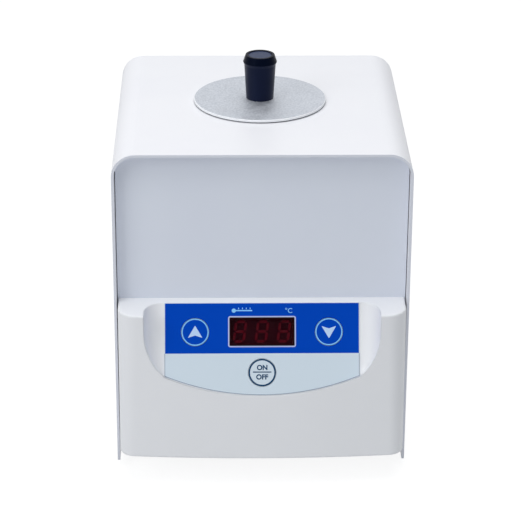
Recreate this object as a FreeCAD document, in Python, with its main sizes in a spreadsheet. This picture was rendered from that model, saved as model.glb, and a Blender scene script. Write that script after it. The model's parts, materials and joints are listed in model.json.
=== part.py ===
import FreeCAD, Part
import math
import os
import re
import Sketcher

# Dry block heater: a bent sheet-steel case with a moulded control bezel in front, a heated
# round tube block under a loose lid, and the mains inlet and switch at the rear.
# Millimetres, +Z up, the front faces -Y, origin on the floor under the middle of the object.

doc = FreeCAD.newDocument("DryBlockHeater")
Vector = FreeCAD.Vector

# Driving dimensions, in millimetres and degrees
SIZES = {
    # Case
    "sheet": 1.5,
    "cover_width": 170.0,
    "cover_depth": 170.0,
    "cover_height": 194.0,
    "cover_bend": 13.5,
    "panel_recess": 7.0,
    "back_recess": 1.5,
    "panel_gap": 0.4,
    "floor_lift": 3.5,
    "flange_height": 14.0,
    "flange_setback": 20.0,
    "rear_reach": 4.0,
    "cover_screw_height": 8.0,
    "cover_screw_setback": 46.0,
    "vent_width": 3.0,
    "vent_height": 24.0,
    "vent_pitch": 7.0,
    "vent_lift": 128.0,
    "floor_vent_length": 40.0,
    # Feet
    "foot_height": 8.5,
    "foot_top": 18.0,
    "foot_tip": 15.0,
    "foot_inset": 18.0,
    "foot_front_setback": 27.5,
    "foot_rear_setback": 16.0,
    "foot_well": 8.0,
    "foot_well_depth": 2.8,
    # Screws: shank and head diameters, head heights
    "small_shank": 2.5,
    "small_head": 4.6,
    "small_rise": 1.8,
    "screw_shank": 3.0,
    "screw_head": 5.6,
    "screw_rise": 2.2,
    "large_shank": 4.0,
    "large_head": 7.4,
    "large_rise": 2.6,
    "hole_clear": 0.2,
    "hole_end": 1.0,
    "screw_grip": 6.0,
    # Control bezel
    "bezel_side": 2.4,
    "bezel_reach": 25.2,
    "bezel_bow": 860.0,
    "bezel_lean": 4.4,
    "bezel_corner": 11.5,
    "bezel_low_corner": 9.0,
    "bezel_clear": 14.3,
    "bezel_wall": 2.5,
    "bezel_edge": 1.0,
    "ledge_height": 102.9,
    "scoop_cheek": 11.5,
    "scoop_turn": 31.7,
    "scoop_margin": 0.5,
    "boss_width": 7.0,
    "boss_inset": 8.5,
    "boss_rise": 9.0,
    # Keypad, measured down the sloping face from its upper edge
    "keypad_tilt": 25.35,
    "keypad_lip": 7.1,
    "keypad_width": 112.1,
    "keypad_bow": 10.9,
    "film": 0.4,
    "window_width": 38.6,
    "window_height": 17.6,
    "window_share": 0.313,
    "window_corner": 1.6,
    "lens_gap": 0.15,
    "key_width": 15.7,
    "key_gap": 0.3,
    "key_thick": 0.5,
    "key_travel": 0.4,
    "key_stem": 3.5,
    "key_inset": 17.6,
    "key_sag": 0.2,
    "start_lift": 12.9,
    # Display and control board
    "digit_pitch": 12.7,
    "digit_height": 12.8,
    "digit_width": 7.2,
    "digit_slant": 8.0,
    "segment_width": 1.5,
    "segment_gap": 0.35,
    "segment_thick": 0.3,
    "module_width": 38.0,
    "module_height": 19.0,
    "module_depth": 7.6,
    "board_thick": 1.6,
    "control_clear": 7.8,
    "control_border": 8.85,
    "control_boss": 5.0,
    "control_inset": 4.0,
    "switch_side": 6.0,
    "switch_height": 4.0,
    "switch_well": 2.5,
    "header_width": 20.0,
    "header_depth": 6.0,
    "header_height": 7.0,
    "ribbon_width": 16.0,
    "ribbon_thick": 1.0,
    "ribbon_bend": 12.0,
    # Heated well
    "well_shift": 3.6,
    "collar_clear": 1.5,
    "collar_wall": 1.5,
    "collar_step": 1.0,
    "collar_gap": 0.4,
    "collar_lap": 11.0,
    "collar_thick": 3.0,
    "skirt_lap": 4.0,
    "block_width": 58.0,
    "block_height": 60.0,
    "block_drop": 14.0,
    "block_edge": 1.0,
    "tube_bore": 11.2,
    "tube_depth": 38.0,
    "tube_edge": 10.0,
    "heater_gap": 0.2,
    "heater_thick": 1.8,
    "heater_height": 40.0,
    "heater_lift": 4.0,
    "lug_reach": 11.0,
    "lug_thick": 1.5,
    "lug_gap": 3.0,
    "lug_height": 16.0,
    "lead_box": 6.0,
    "lead_spread": 14.0,
    "insulation_gap": 0.5,
    "insulation_wall": 13.5,
    "base_insulation": 12.0,
    "slot_width": 26.0,
    "shield_gap": 0.2,
    "shield_wall": 1.0,
    "plate_thick": 2.0,
    "plate_margin": 7.0,
    "post_width": 8.0,
    "post_spread": 104.0,
    "post_front_setback": 34.5,
    "post_rear_setback": 30.4,
    "bolt_shank": 5.0,
    "bolt_head": 8.0,
    "bolt_rise": 3.5,
    "bolt_grip": 11.0,
    "probe_width": 4.0,
    "probe_grip": 18.0,
    "probe_offset": 14.0,
    "fuse_link_width": 4.0,
    "fuse_link_length": 9.0,
    # Lid
    "lid_lap": 6.1,
    "lid_thick": 2.0,
    "lid_edge": 0.3,
    "lid_relief": 3.0,
    "lid_gap": 0.5,
    "insert_gap": 1.0,
    "insert_thick": 4.0,
    "knob_foot": 16.2,
    "knob_neck": 18.6,
    "knob_collar": 20.0,
    "knob_top": 17.1,
    "knob_neck_height": 20.8,
    "knob_collar_height": 22.6,
    "knob_height": 26.8,
    "cap_width": 13.6,
    "cap_depth": 1.2,
    "cap_gap": 0.15,
    "cap_sink": 0.4,
    "knob_grip": 12.0,
    # Power board on the floor
    "power_front_setback": 26.0,
    "power_rear_setback": 38.0,
    "power_lift": 8.0,
    "standoff_width": 6.0,
    "standoff_inset": 4.0,
    "board_gap": 4.0,
    "transformer_width": 42.0,
    "transformer_length": 40.0,
    "transformer_height": 34.0,
    "transformer_shift": 10.0,
    "core_depth": 24.0,
    "core_lift": 5.0,
    "sink_width": 14.0,
    "sink_length": 40.0,
    "sink_height": 40.0,
    "fin_thick": 1.6,
    "fin_pitch": 4.8,
    "triac_width": 10.0,
    "triac_thick": 4.4,
    "triac_height": 15.0,
    "triac_lift": 5.0,
    "triac_leg": 0.8,
    "capacitor_width": 10.0,
    "capacitor_height": 18.0,
    "capacitor_pitch": 14.0,
    "capacitor_edge": 0.8,
    "terminal_pitch": 8.0,
    "terminal_depth": 12.0,
    "terminal_height": 14.0,
    "terminal_entry": 7.0,
    # Mains inlet with fuse drawer
    "inlet_offset": 35.0,
    "inlet_lift": 40.0,
    "inlet_flange_width": 50.0,
    "inlet_flange_height": 36.0,
    "inlet_flange": 2.5,
    "inlet_body_width": 28.0,
    "inlet_body_height": 33.0,
    "inlet_body_depth": 20.0,
    "inlet_screw_pitch": 40.0,
    "panel_clear": 0.2,
    "socket_width": 24.0,
    "socket_height": 16.4,
    "socket_depth": 17.0,
    "socket_rise": 5.6,
    "socket_key": 4.5,
    "pin_thick": 2.0,
    "pin_height": 4.0,
    "pin_pitch": 14.0,
    "pin_setback": 3.0,
    "earth_rise": 4.0,
    "tab_length": 7.0,
    "drawer_width": 24.0,
    "drawer_height": 8.6,
    "drawer_depth": 16.0,
    "drawer_drop": 9.4,
    "drawer_proud": 1.0,
    "drawer_gap": 0.3,
    "cartridge_width": 5.2,
    "cartridge_length": 20.0,
    "cartridge_gap": 0.2,
    "cartridge_wall": 2.0,
    # Rocker switch
    "rocker_offset": 35.0,
    "rocker_lift": 40.0,
    "rocker_flange_width": 15.0,
    "rocker_flange_height": 21.0,
    "rocker_flange": 2.0,
    "rocker_body_width": 12.8,
    "rocker_body_height": 18.8,
    "rocker_body_depth": 13.0,
    "rocker_width": 10.6,
    "rocker_gap": 0.3,
    "rocker_radius": 8.4,
    "rocker_rise": 3.6,
    "rocker_dip": 1.4,
    "rocker_throw": 24.0,
    "rocker_pin": 2.4,
    "rocker_pin_gap": 0.05,
    "rocker_pin_length": 1.2,
    "rocker_floor": 5.2,
    "switch_tab": 8.0,
    # Leads
    "lead_width": 2.4,
    "lead_bend": 8.0,
    "lead_column": 54.0,
    "lead_drop": 20.0,
    "lead_fall": 24.0,
    "lead_turn": 10.0,
    "earth_offset": 18.0,
    "earth_setback": 30.0,
}

# Places worked out from the driving dimensions
PLACES = {
    "front_y": "(bezel_reach - cover_depth - rear_reach) / 2",
    "rear_y": "front_y + cover_depth",
    "panel_y": "front_y + panel_recess",
    "panel_in_y": "panel_y + sheet",
    "back_y": "rear_y - back_recess",
    "back_in_y": "back_y - sheet",
    "base_z": "foot_height - floor_lift",
    "chassis_z": "foot_height",
    "floor_z": "chassis_z + sheet",
    "top_z": "base_z + cover_height",
    "ceiling_z": "top_z - sheet",
    "cover_screw_z": "floor_z + cover_screw_height",
    "cover_half": "cover_width / 2",
    "inner_half": "cover_half - sheet",
    "panel_half": "inner_half - panel_gap",
    "panel_top_z": "ceiling_z - panel_gap",
    "well_y": "(front_y + rear_y) / 2 + well_shift",
    "ledge_z": "base_z + ledge_height",
    "bezel_low_z": "base_z + bezel_clear",
    "slope_y": "panel_y - keypad_lip",
    "tilt_sin": "sin(keypad_tilt * 1 deg)",
    "tilt_cos": "cos(keypad_tilt * 1 deg)",
    "bezel_half": "cover_half - bezel_side",
    "bezel_depth": "panel_recess + bezel_reach",
    "scoop_half": "keypad_width / 2 + scoop_cheek",
    "front_slope": "bezel_lean / (ledge_z - bezel_low_z)",
    "film_edge": "film * (tilt_cos + front_slope * tilt_sin)",
    "keypad_run": "bezel_depth - bezel_lean - keypad_lip - film_edge",
    "keypad_length": "keypad_run / (tilt_sin - front_slope * tilt_cos)",
    "keypad_side": "keypad_length - keypad_bow",
    "window_drop": "keypad_length * window_share",
    "key_spread": "keypad_width / 2 - key_inset",
    "key_drop": "window_drop + key_sag",
    "start_drop": "keypad_length - start_lift",
    "foot_x": "cover_half - foot_inset",
    "foot_front_y": "front_y + foot_front_setback",
    "foot_rear_y": "rear_y - foot_rear_setback",
    "boss_x": "bezel_half - boss_inset",
    "boss_low_z": "bezel_low_z + boss_rise",
    "boss_high_z": "ledge_z - boss_rise",
    "key_floor": "key_thick - film + key_travel + key_gap",
    "control_front": "bezel_wall + module_depth + key_gap",
    "control_back": "control_front + board_thick",
    "control_drop": "(window_drop + start_drop) / 2",
    "control_height": "start_drop - window_drop + 2 * control_border",
    "control_post_x": "key_spread + control_clear",
    "control_half": "control_post_x + control_inset",
    "control_post_top": "control_drop - control_height / 2 + control_inset",
    "control_post_low": "control_drop + control_height / 2 - control_inset",
    "switch_face": "control_front - switch_height",
    "block_top_z": "top_z - block_drop",
    "block_low_z": "block_top_z - block_height",
    "plate_top_z": "block_low_z - base_insulation",
    "plate_low_z": "plate_top_z - plate_thick",
    "heater_low_z": "block_low_z + heater_lift",
    "heater_radius": "block_width / 2 + heater_gap",
    "heater_outer": "heater_radius + heater_thick",
    "collar_bore": "block_width + 2 * collar_clear",
    "collar_skirt": "collar_bore + 2 * collar_wall",
    "well_hole": "collar_skirt + 2 * collar_step",
    "collar_flange": "well_hole + 2 * collar_lap",
    "insulation_bore": "collar_skirt + 2 * insulation_gap",
    "insulation_width": "insulation_bore + 2 * insulation_wall",
    "tube_circle": "block_width - 2 * tube_edge",
    "lid_width": "well_hole + 2 * lid_lap",
    "shield_radius": "insulation_width / 2 + shield_gap",
    "collar_low_z": "ceiling_z - collar_thick",
    "post_x": "post_spread / 2",
    "post_front_y": "panel_in_y + post_front_setback",
    "post_rear_y": "back_in_y - post_rear_setback",
    "link_top_z": "heater_low_z - lead_width",
    "link_low_z": "link_top_z - fuse_link_length",
    "insert_low_z": "top_z - insert_thick",
    "lid_top_z": "top_z + lid_thick",
    "power_half": "(board_thick + terminal_depth + transformer_width + triac_thick + sink_width) / 2"
                  " + board_gap * 3 / 4",
    "power_front_y": "panel_in_y + power_front_setback",
    "power_rear_y": "back_in_y - power_rear_setback",
    "power_low_z": "floor_z + power_lift",
    "power_z": "power_low_z + board_thick",
    "standoff_x": "power_half - standoff_inset",
    "standoff_front_y": "power_front_y + standoff_inset",
    "standoff_rear_y": "power_rear_y - standoff_inset",
    "header_y": "power_front_y + header_depth",
    "terminal_x": "board_thick - power_half",
    "terminal_y": "well_y - 2 * terminal_pitch",
    "entry_x": "terminal_x + terminal_depth / 2",
    "entry_z": "power_z + terminal_entry",
    "transformer_x": "terminal_x + terminal_depth + board_gap / 2",
    "transformer_y": "well_y - transformer_length / 2 - transformer_shift",
    "capacitor_y": "transformer_y + transformer_length + board_gap + capacitor_width / 2",
    "sink_x": "power_half - board_gap / 2",
    "inlet_z": "base_z + inlet_lift",
    "inlet_face_y": "back_y + inlet_flange",
    "inlet_inner_y": "back_y - inlet_body_depth",
    "socket_z": "inlet_z + socket_rise",
    "pin_z": "socket_z - earth_rise / 2",
    "tab_y": "inlet_inner_y - tab_length",
    "drawer_z": "inlet_z - drawer_drop",
    "drawer_end_y": "inlet_face_y - drawer_depth",
    "rocker_z": "base_z + rocker_lift",
    "rocker_face_y": "back_y + rocker_flange",
    "rocker_inner_y": "back_y - rocker_body_depth",
    "switch_tab_y": "rocker_inner_y - switch_tab",
    "rocker_tip": "sqrt(rocker_radius ^ 2 - rocker_rise ^ 2)",
    "hinge_y": "rear_y + rear_reach - rocker_rise * cos(rocker_throw / 2 * 1 deg)"
               " - rocker_tip * sin(rocker_throw / 2 * 1 deg)",
    "earth_x": "-earth_offset",
    "earth_y": "back_in_y - earth_setback",
}

# How far a cutting shape runs past the face it cuts, and how near two lengths count as the same
OVER = 1.0
SAME = 1e-3
# The turn that fixes a placement's axis before an expression drives its angle
FIRST_TURN = 45.0
X_AXIS, Y_AXIS, Z_AXIS = Vector(1, 0, 0), Vector(0, 1, 0), Vector(0, 0, 1)

sizes = doc.addObject("Spreadsheet::Sheet", "Sizes")
for row, (alias, value) in enumerate(SIZES.items(), start=1):
    sizes.set(f"A{row}", alias)
    sizes.set(f"B{row}", str(value))
    sizes.setAlias(f"B{row}", alias)
doc.recompute()


def sized(text, own_sheet=False):
    """The expression with each dimension's name led by its sheet."""
    def lead(match):
        word = match.group(0)
        if word in SIZES:
            return f"Sizes.{word}"
        if word in PLACES and not own_sheet:
            return f"Places.{word}"
        return word
    return re.sub(r"[a-z]+(_[a-z]+)*", lead, text)


places = doc.addObject("Spreadsheet::Sheet", "Places")
for row, (alias, formula) in enumerate(PLACES.items(), start=1):
    places.set(f"A{row}", alias)
    places.set(f"B{row}", "=" + sized(formula, own_sheet=True))
    places.setAlias(f"B{row}", alias)
doc.recompute()


def size(alias):
    """A dimension's present value."""
    return float((sizes if alias in SIZES else places).get(alias))


nodes = {}


def node(label, piece):
    """Name a finished sub-part, which is written to a file of that name."""
    piece.Label = label
    nodes[label] = piece
    return piece


def bind(piece, **values):
    """Bind properties to expressions over the sheets."""
    for name, text in values.items():
        piece.setExpression(name, sized(text))


def move(piece, x="0", y="0", z="0"):
    """Bind where a piece stands."""
    for axis, text in zip("xyz", (x, y, z)):
        piece.setExpression(f"Placement.Base.{axis}", sized(text))
    return piece


def on_slope(piece, x="0", up="0", out="0"):
    """Stand a piece on the keypad's slope: X across, Y up the slope, Z out of it."""
    piece.Placement = FreeCAD.Placement(Vector(0, 0, 0), FreeCAD.Rotation(X_AXIS, FIRST_TURN))
    piece.setExpression("Placement.Rotation.Angle", sized("90 - keypad_tilt"))
    return move(
        piece, x, f"slope_y + ({up}) * tilt_sin - ({out}) * tilt_cos",
        f"ledge_z + ({up}) * tilt_cos + ({out}) * tilt_sin",
    )


def box(name, x, y, z):
    """A block between a low and a high value along each axis."""
    piece = doc.addObject("Part::Box", name)
    for name, (low, high) in (("Length", x), ("Width", y), ("Height", z)):
        bind(piece, **{name: f"({high}) - ({low})"})
    return move(piece, x[0], y[0], z[0])


def slope_box(name, x, up, out):
    """A block on the slope's axes, between a low and a high value along each."""
    return on_slope(box(name, x, up, out), x[0], up[0], out[0])


TURNS = {
    "X": FreeCAD.Rotation(Y_AXIS, 90),
    "Y": FreeCAD.Rotation(X_AXIS, -90),
    "Z": FreeCAD.Rotation(),
}


def rod(name, axis, middle, span, width):
    """A round bar along an axis; middle gives its other two coordinates, in X, Y, Z order."""
    piece = doc.addObject("Part::Cylinder", name)
    piece.Placement = FreeCAD.Placement(Vector(0, 0, 0), TURNS[axis])
    bind(piece, Radius=f"({width}) / 2", Height=f"({span[1]}) - ({span[0]})")
    at = list(middle)
    at.insert("XYZ".index(axis), span[0])
    return move(piece, *at)


def fuse(name, *pieces):
    """Several shapes joined into one."""
    piece = doc.addObject("Part::MultiFuse", name)
    piece.Shapes = list(pieces)
    piece.Refine = True
    return piece


def cut(name, base, *tools):
    """A shape less one or more others."""
    piece = doc.addObject("Part::Cut", name)
    piece.Base = base
    piece.Tool = tools[0] if len(tools) == 1 else fuse(f"{name}_tools", *tools)
    return piece


def group(name, pieces):
    """Separate solids kept together as one sub-part."""
    piece = doc.addObject("Part::Compound", name)
    piece.Links = list(pieces)
    return piece


def rounded(name, base, radius, wanted):
    """A shape with the edges that pass the test rounded off."""
    doc.recompute()
    piece = doc.addObject("Part::Fillet", name)
    piece.Base = base
    chosen = [i for i, edge in enumerate(base.Shape.Edges, start=1) if wanted(edge)]
    piece.Edges = [(i, radius, radius) for i in chosen]
    return piece


def runs_along(edge, axis):
    """Is this a straight edge along that axis?"""
    if not isinstance(edge.Curve, Part.Line):
        return False
    return abs(abs(edge.Curve.Direction.dot(axis)) - 1) < SAME


def origin_part(body, role):
    """One of a body's own origin planes or axes."""
    return next(f for f in body.Origin.OriginFeatures if f.Role == role)


def new_sketch(body, name, role):
    """An empty sketch on one of the body's own origin planes."""
    sketch = body.newObject("Sketcher::SketchObject", name)
    sketch.AttachmentSupport = (origin_part(body, role), [""])
    sketch.MapMode = "FlatFace"
    return sketch


FIRST_VALUE = 1.0


def hold(sketch, kind, text, *elements):
    """A dimension in a sketch, bound to an expression."""
    index = sketch.addConstraint(Sketcher.Constraint(kind, *elements, FIRST_VALUE))
    sketch.setExpression(f"Constraints[{index}]", sized(text))


def outline(sketch, corners):
    """A closed outline through corners given as pairs of expressions."""
    count = len(corners)
    for i in range(count):
        start = Vector(i, i * i, 0)
        end = Vector(i + 1, (i + 1) ** 2, 0)
        sketch.addGeometry(Part.LineSegment(start, end), False)
    for i in range(count):
        sketch.addConstraint(Sketcher.Constraint("Coincident", i, 2, (i + 1) % count, 1))
    for i, (across, up) in enumerate(corners):
        hold(sketch, "DistanceX", across, -1, 1, i, 1)
        hold(sketch, "DistanceY", up, -1, 1, i, 1)


def circles(sketch, rounds):
    """Circles given as centre and diameter expressions."""
    for across, up, width in rounds:
        index = sketch.addGeometry(Part.Circle(X_AXIS, Z_AXIS, FIRST_VALUE), False)
        hold(sketch, "DistanceX", across, -1, 1, index, 3)
        hold(sketch, "DistanceY", up, -1, 1, index, 3)
        hold(sketch, "Diameter", width, index)


def turned(name, profile, x="0", y="0", z="0"):
    """A lathe-turned body about Z, from a profile of radius and height pairs."""
    body = doc.addObject("PartDesign::Body", name)
    sketch = new_sketch(body, f"{name}_profile", "XZ_Plane")
    outline(sketch, profile)
    turn = body.newObject("PartDesign::Revolution", f"{name}_turn")
    turn.Profile = sketch
    turn.ReferenceAxis = (sketch, ["V_Axis"])
    turn.Angle = 360
    move(body, x, y, z)
    return body


def padded(name, role, corners, length, midplane=False, reverse=False):
    """A body padded from an outline on one of its origin planes."""
    body = doc.addObject("PartDesign::Body", name)
    sketch = new_sketch(body, f"{name}_outline", role)
    outline(sketch, corners)
    pad = body.newObject("PartDesign::Pad", f"{name}_pad")
    pad.Profile = sketch
    pad.SideType = "Symmetric" if midplane else "One side"
    pad.Reversed = reverse
    bind(pad, Length=length)
    return body


def drilled(body, name, role, rounds):
    """Round holes right through a body, both ways from an origin plane."""
    sketch = new_sketch(body, f"{name}_circles", role)
    circles(sketch, rounds)
    pocket = body.newObject("PartDesign::Pocket", name)
    pocket.Profile = sketch
    pocket.Type = "ThroughAll"
    pocket.SideType = "Symmetric"
    return pocket


def softened(body, name, radius, wanted):
    """Round off the edges of a body's last feature that pass the test."""
    doc.recompute()
    base = body.Tip
    feature = body.newObject("PartDesign::Fillet", name)
    chosen = [f"Edge{i}" for i, e in enumerate(base.Shape.Edges, start=1) if wanted(e)]
    feature.Base = (base, chosen)
    bind(feature, Radius=radius)
    return feature


def both(expression):
    """A span the same way about zero."""
    return (f"-({expression})", expression)


def about(middle, width):
    """A span of a width about a middle."""
    return (f"({middle}) - ({width}) / 2", f"({middle}) + ({width}) / 2")


def past(low, high):
    """A span that runs past both its ends, for a cutting shape."""
    return (f"{low} - {OVER}", f"{high} + {OVER}")


RECESS_ARM, RECESS_SLIT = 0.6, 0.18


def screw(name, axis, middle, seat, way, family, grip):
    """A pan-head screw: its head stands on the seat, and its shank runs the given way (+1 or -1)."""
    def along(start, end):
        ends = (f"({seat}) + ({start})", f"({seat}) + ({end})")
        return ends if way > 0 else (f"({seat}) - ({end})", f"({seat}) - ({start})")
    head = rod(f"{name}_head", axis, middle, along(f"-{family}_rise", "0"), f"{family}_head")
    shank = rod(f"{name}_shank", axis, middle, along("0", grip), f"{family}_shank")
    depth = along(f"-{family}_rise", f"-{family}_rise / 2")
    arm, slit = f"{family}_head * {RECESS_ARM}", f"{family}_head * {RECESS_SLIT}"
    slots = []
    for i, (first, second) in enumerate(((arm, slit), (slit, arm))):
        spans = [about(middle[0], first), about(middle[1], second)]
        spans.insert("XYZ".index(axis), depth)
        slots.append(box(f"{name}_slot{i}", *spans))
    return cut(name, fuse(f"{name}_blank", head, shank), *slots)


# Cover: one sheet bent over the left side, the top and the right side
cover = padded("cover_body", "XZ_Plane", [
    ("-cover_half", "base_z"), ("-cover_half", "top_z"), ("cover_half", "top_z"), ("cover_half", "base_z"),
    ("inner_half", "base_z"), ("inner_half", "ceiling_z"), ("-inner_half", "ceiling_z"),
    ("-inner_half", "base_z"),
], "cover_depth", reverse=True)


def cover_corner(half, height):
    """A test for the two long edges of the cover's bends at that width and height."""
    def wanted(edge):
        middle = edge.BoundBox.Center
        return runs_along(edge, Y_AXIS) and max(abs(abs(middle.x) - half), abs(middle.z - height)) < SAME
    return wanted


softened(cover, "cover_outer_bends", "cover_bend", cover_corner(size("cover_half"), size("top_z")))
softened(cover, "cover_inner_bends", "cover_bend - sheet",
         cover_corner(size("inner_half"), size("ceiling_z")))
drilled(cover, "well_opening", "XY_Plane", [("0", "cover_depth / 2 + well_shift", "well_hole")])
COVER_SCREW_YS = ("cover_screw_setback", "cover_depth - cover_screw_setback")
SCREW_HOLE = "screw_shank + hole_clear"
drilled(cover, "cover_screw_holes", "YZ_Plane", [
    (y, "cover_screw_z", SCREW_HOLE) for y in COVER_SCREW_YS
])
node("cover", move(cover, y="front_y"))

node("cover_screws", group("cover_screw_set", [
    screw(f"cover_screw_{side}_{i}", "X", (f"front_y + {y}", "cover_screw_z"), f"{sign} * cover_half",
          -sign, "screw", "sheet + panel_gap + sheet + screw_grip / 2")
    for side, sign in (("left", -1), ("right", 1)) for i, y in enumerate(COVER_SCREW_YS)
]))

# Chassis: front panel, floor and rear panel bent from one sheet, with a flange up each side
floor = box("floor_sheet", both("panel_half"), ("panel_y", "back_y"), ("chassis_z", "floor_z"))
front_sheet = box("front_sheet", both("panel_half"), ("panel_y", "panel_in_y"), ("chassis_z", "panel_top_z"))
rear_sheet = box("rear_sheet", both("panel_half"), ("back_in_y", "back_y"), ("chassis_z", "panel_top_z"))
FLANGE_Y = ("panel_in_y + flange_setback", "back_in_y - flange_setback")
FLANGE_Z = ("floor_z", "floor_z + flange_height")
left_flange = box("left_flange", ("-panel_half", "sheet - panel_half"), FLANGE_Y, FLANGE_Z)
right_flange = box("right_flange", ("panel_half - sheet", "panel_half"), FLANGE_Y, FLANGE_Z)
bent = fuse("bent_sheet", floor, front_sheet, rear_sheet, left_flange, right_flange)


def panel_corner(edge):
    """The upper corners of the front and rear panels, which follow the cover's bends."""
    return runs_along(edge, Y_AXIS) and abs(edge.BoundBox.Center.z - size("panel_top_z")) < SAME


def sheet_bend(edge):
    """The outer edges of the two folds between the floor and the panels."""
    middle = edge.BoundBox.Center
    fold = min(abs(middle.y - size(y)) for y in ("panel_y", "back_y"))
    return runs_along(edge, X_AXIS) and max(abs(middle.z - size("chassis_z")), fold) < SAME


panel_bend = size("cover_bend") - size("sheet") - size("panel_gap")
panels = rounded("panels_rounded", bent, panel_bend, panel_corner)
folded = rounded("folds_rounded", panels, size("sheet"), sheet_bend)

FEET = {
    "front_left": ("-foot_x", "foot_front_y"), "front_right": ("foot_x", "foot_front_y"),
    "rear_left": ("-foot_x", "foot_rear_y"), "rear_right": ("foot_x", "foot_rear_y"),
}
POSTS = [(x, y) for x in ("-post_x", "post_x") for y in ("post_front_y", "post_rear_y")]
STANDOFFS = [(x, y) for x in ("-standoff_x", "standoff_x")
             for y in ("standoff_front_y", "standoff_rear_y")]
BOSSES = [(x, z) for x in ("-boss_x", "boss_x") for z in ("boss_low_z", "boss_high_z")]
INLET_SCREWS = [(f"-inlet_offset {sign} inlet_screw_pitch / 2", "inlet_z") for sign in "-+"]
FLOOR_CUT = past("chassis_z", "floor_z")
FRONT_CUT = past("panel_y", "panel_in_y")
REAR_CUT = past("back_in_y", "back_y")


def through_floor(name, points, shank):
    """Screw holes down through the floor."""
    return [rod(f"{name}_{i}", "Z", at, FLOOR_CUT, f"{shank} + hole_clear") for i, at in enumerate(points)]


def vent(name, axis, middle, span, half_length):
    """A slot with round ends, punched along an axis; its length runs along the second coordinate."""
    across, along = middle
    spans = [about(across, "vent_width"), about(along, f"2 * ({half_length})")]
    spans.insert("XYZ".index(axis), span)
    ends = [rod(f"{name}_end{i}", axis, (across, f"({along}) {sign} ({half_length})"), span, "vent_width")
            for i, sign in enumerate("-+")]
    return fuse(name, box(f"{name}_run", *spans), *ends)


VENT_STEPS = range(-4, 5)
chassis_cuts = [
    *through_floor("foot_hole", FEET.values(), "screw_shank"),
    *through_floor("post_hole", POSTS, "large_shank"),
    *through_floor("standoff_hole", STANDOFFS, "screw_shank"),
    *through_floor("earth_hole", [("earth_x", "earth_y")], "large_shank"),
    *[vent(f"rear_vent{i}", "Y", (f"{i} * vent_pitch", "base_z + vent_lift"), REAR_CUT,
           "(vent_height - vent_width) / 2") for i in VENT_STEPS],
    *[vent(f"floor_vent{i}", "Z", (f"{i} * vent_pitch", "well_y"), FLOOR_CUT,
           "(floor_vent_length - vent_width) / 2") for i in VENT_STEPS],
    *[rod(f"bezel_hole{i}", "Y", at, FRONT_CUT, SCREW_HOLE) for i, at in enumerate(BOSSES)],
    box("keypad_opening", both("control_half + bezel_wall"), FRONT_CUT,
        ("ledge_z - (control_drop + control_height / 2 + control_back) * tilt_cos",
         "ledge_z - bezel_wall - sheet")),
    box("inlet_opening", about("-inlet_offset", "inlet_body_width + 2 * panel_clear"), REAR_CUT,
        about("inlet_z", "inlet_body_height + 2 * panel_clear")),
    *[rod(f"inlet_hole{i}", "Y", at, REAR_CUT, SCREW_HOLE) for i, at in enumerate(INLET_SCREWS)],
    box("rocker_opening", about("rocker_offset", "rocker_body_width + 2 * panel_clear"), REAR_CUT,
        about("rocker_z", "rocker_body_height + 2 * panel_clear")),
    *[rod(f"flange_hole{i}", "X", (f"front_y + {y}", "cover_screw_z"), past("-panel_half", "panel_half"),
          SCREW_HOLE) for i, y in enumerate(COVER_SCREW_YS)],
]
node("chassis", cut("chassis_sheet", folded, *chassis_cuts))

# Feet and their screws
for label, (x, y) in FEET.items():
    node(f"foot_{label}", turned(f"{label}_rubber", [
        (f"({SCREW_HOLE}) / 2", "foot_well_depth"), ("foot_well / 2", "foot_well_depth"),
        ("foot_well / 2", "0"), ("foot_tip / 2", "0"), ("foot_top / 2", "foot_height"),
        (f"({SCREW_HOLE}) / 2", "foot_height"),
    ], x, y))
node("foot_screws", group("foot_screw_set", [
    screw(f"foot_screw_{label}", "Z", at, "foot_well_depth", 1, "screw",
          "foot_height - foot_well_depth + sheet + screw_grip / 2") for label, at in FEET.items()
]))


# Front bezel: a moulded shell with a bowed front and a scoop whose floor carries the keypad
KEYS = {
    "up": ("-key_spread", "-key_drop"),
    "down": ("key_spread", "-key_drop"),
    "start": ("0", "-start_drop"),
}
CONTROL_POSTS = [(x, up) for x in ("-control_post_x", "control_post_x")
                 for up in ("-control_post_top", "-control_post_low")]


def value(text):
    """The present value of a dimension's name, one with a minus sign before it, or a plain zero."""
    if text == "0":
        return 0.0
    return -size(text[1:]) if text.startswith("-") else size(text)


def hole_radius(family):
    """A screw hole's radius."""
    return (size(f"{family}_shank") + size("hole_clear")) / 2


def slope_placement(out=0.0):
    """The keypad slope's own frame, moved out along its normal."""
    tilt = math.radians(size("keypad_tilt"))
    turn = FreeCAD.Rotation(X_AXIS, 90 - size("keypad_tilt"))
    normal = Vector(0, -math.cos(tilt), math.sin(tilt))
    return FreeCAD.Placement(Vector(0, size("slope_y"), size("ledge_z")) + normal * out, turn)


def arc(start, middle, end):
    """A circular edge through three points."""
    return Part.Arc(Vector(*start), Vector(*middle), Vector(*end)).toShape()


def line(start, end):
    """A straight edge."""
    return Part.LineSegment(Vector(*start), Vector(*end)).toShape()


def prism(edges, placement, height):
    """A closed flat outline pushed out along Z, then put in place."""
    solid = Part.Face(Part.Wire(Part.__sortEdges__(edges))).extrude(Vector(0, 0, height))
    solid.Placement = placement
    return solid


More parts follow.
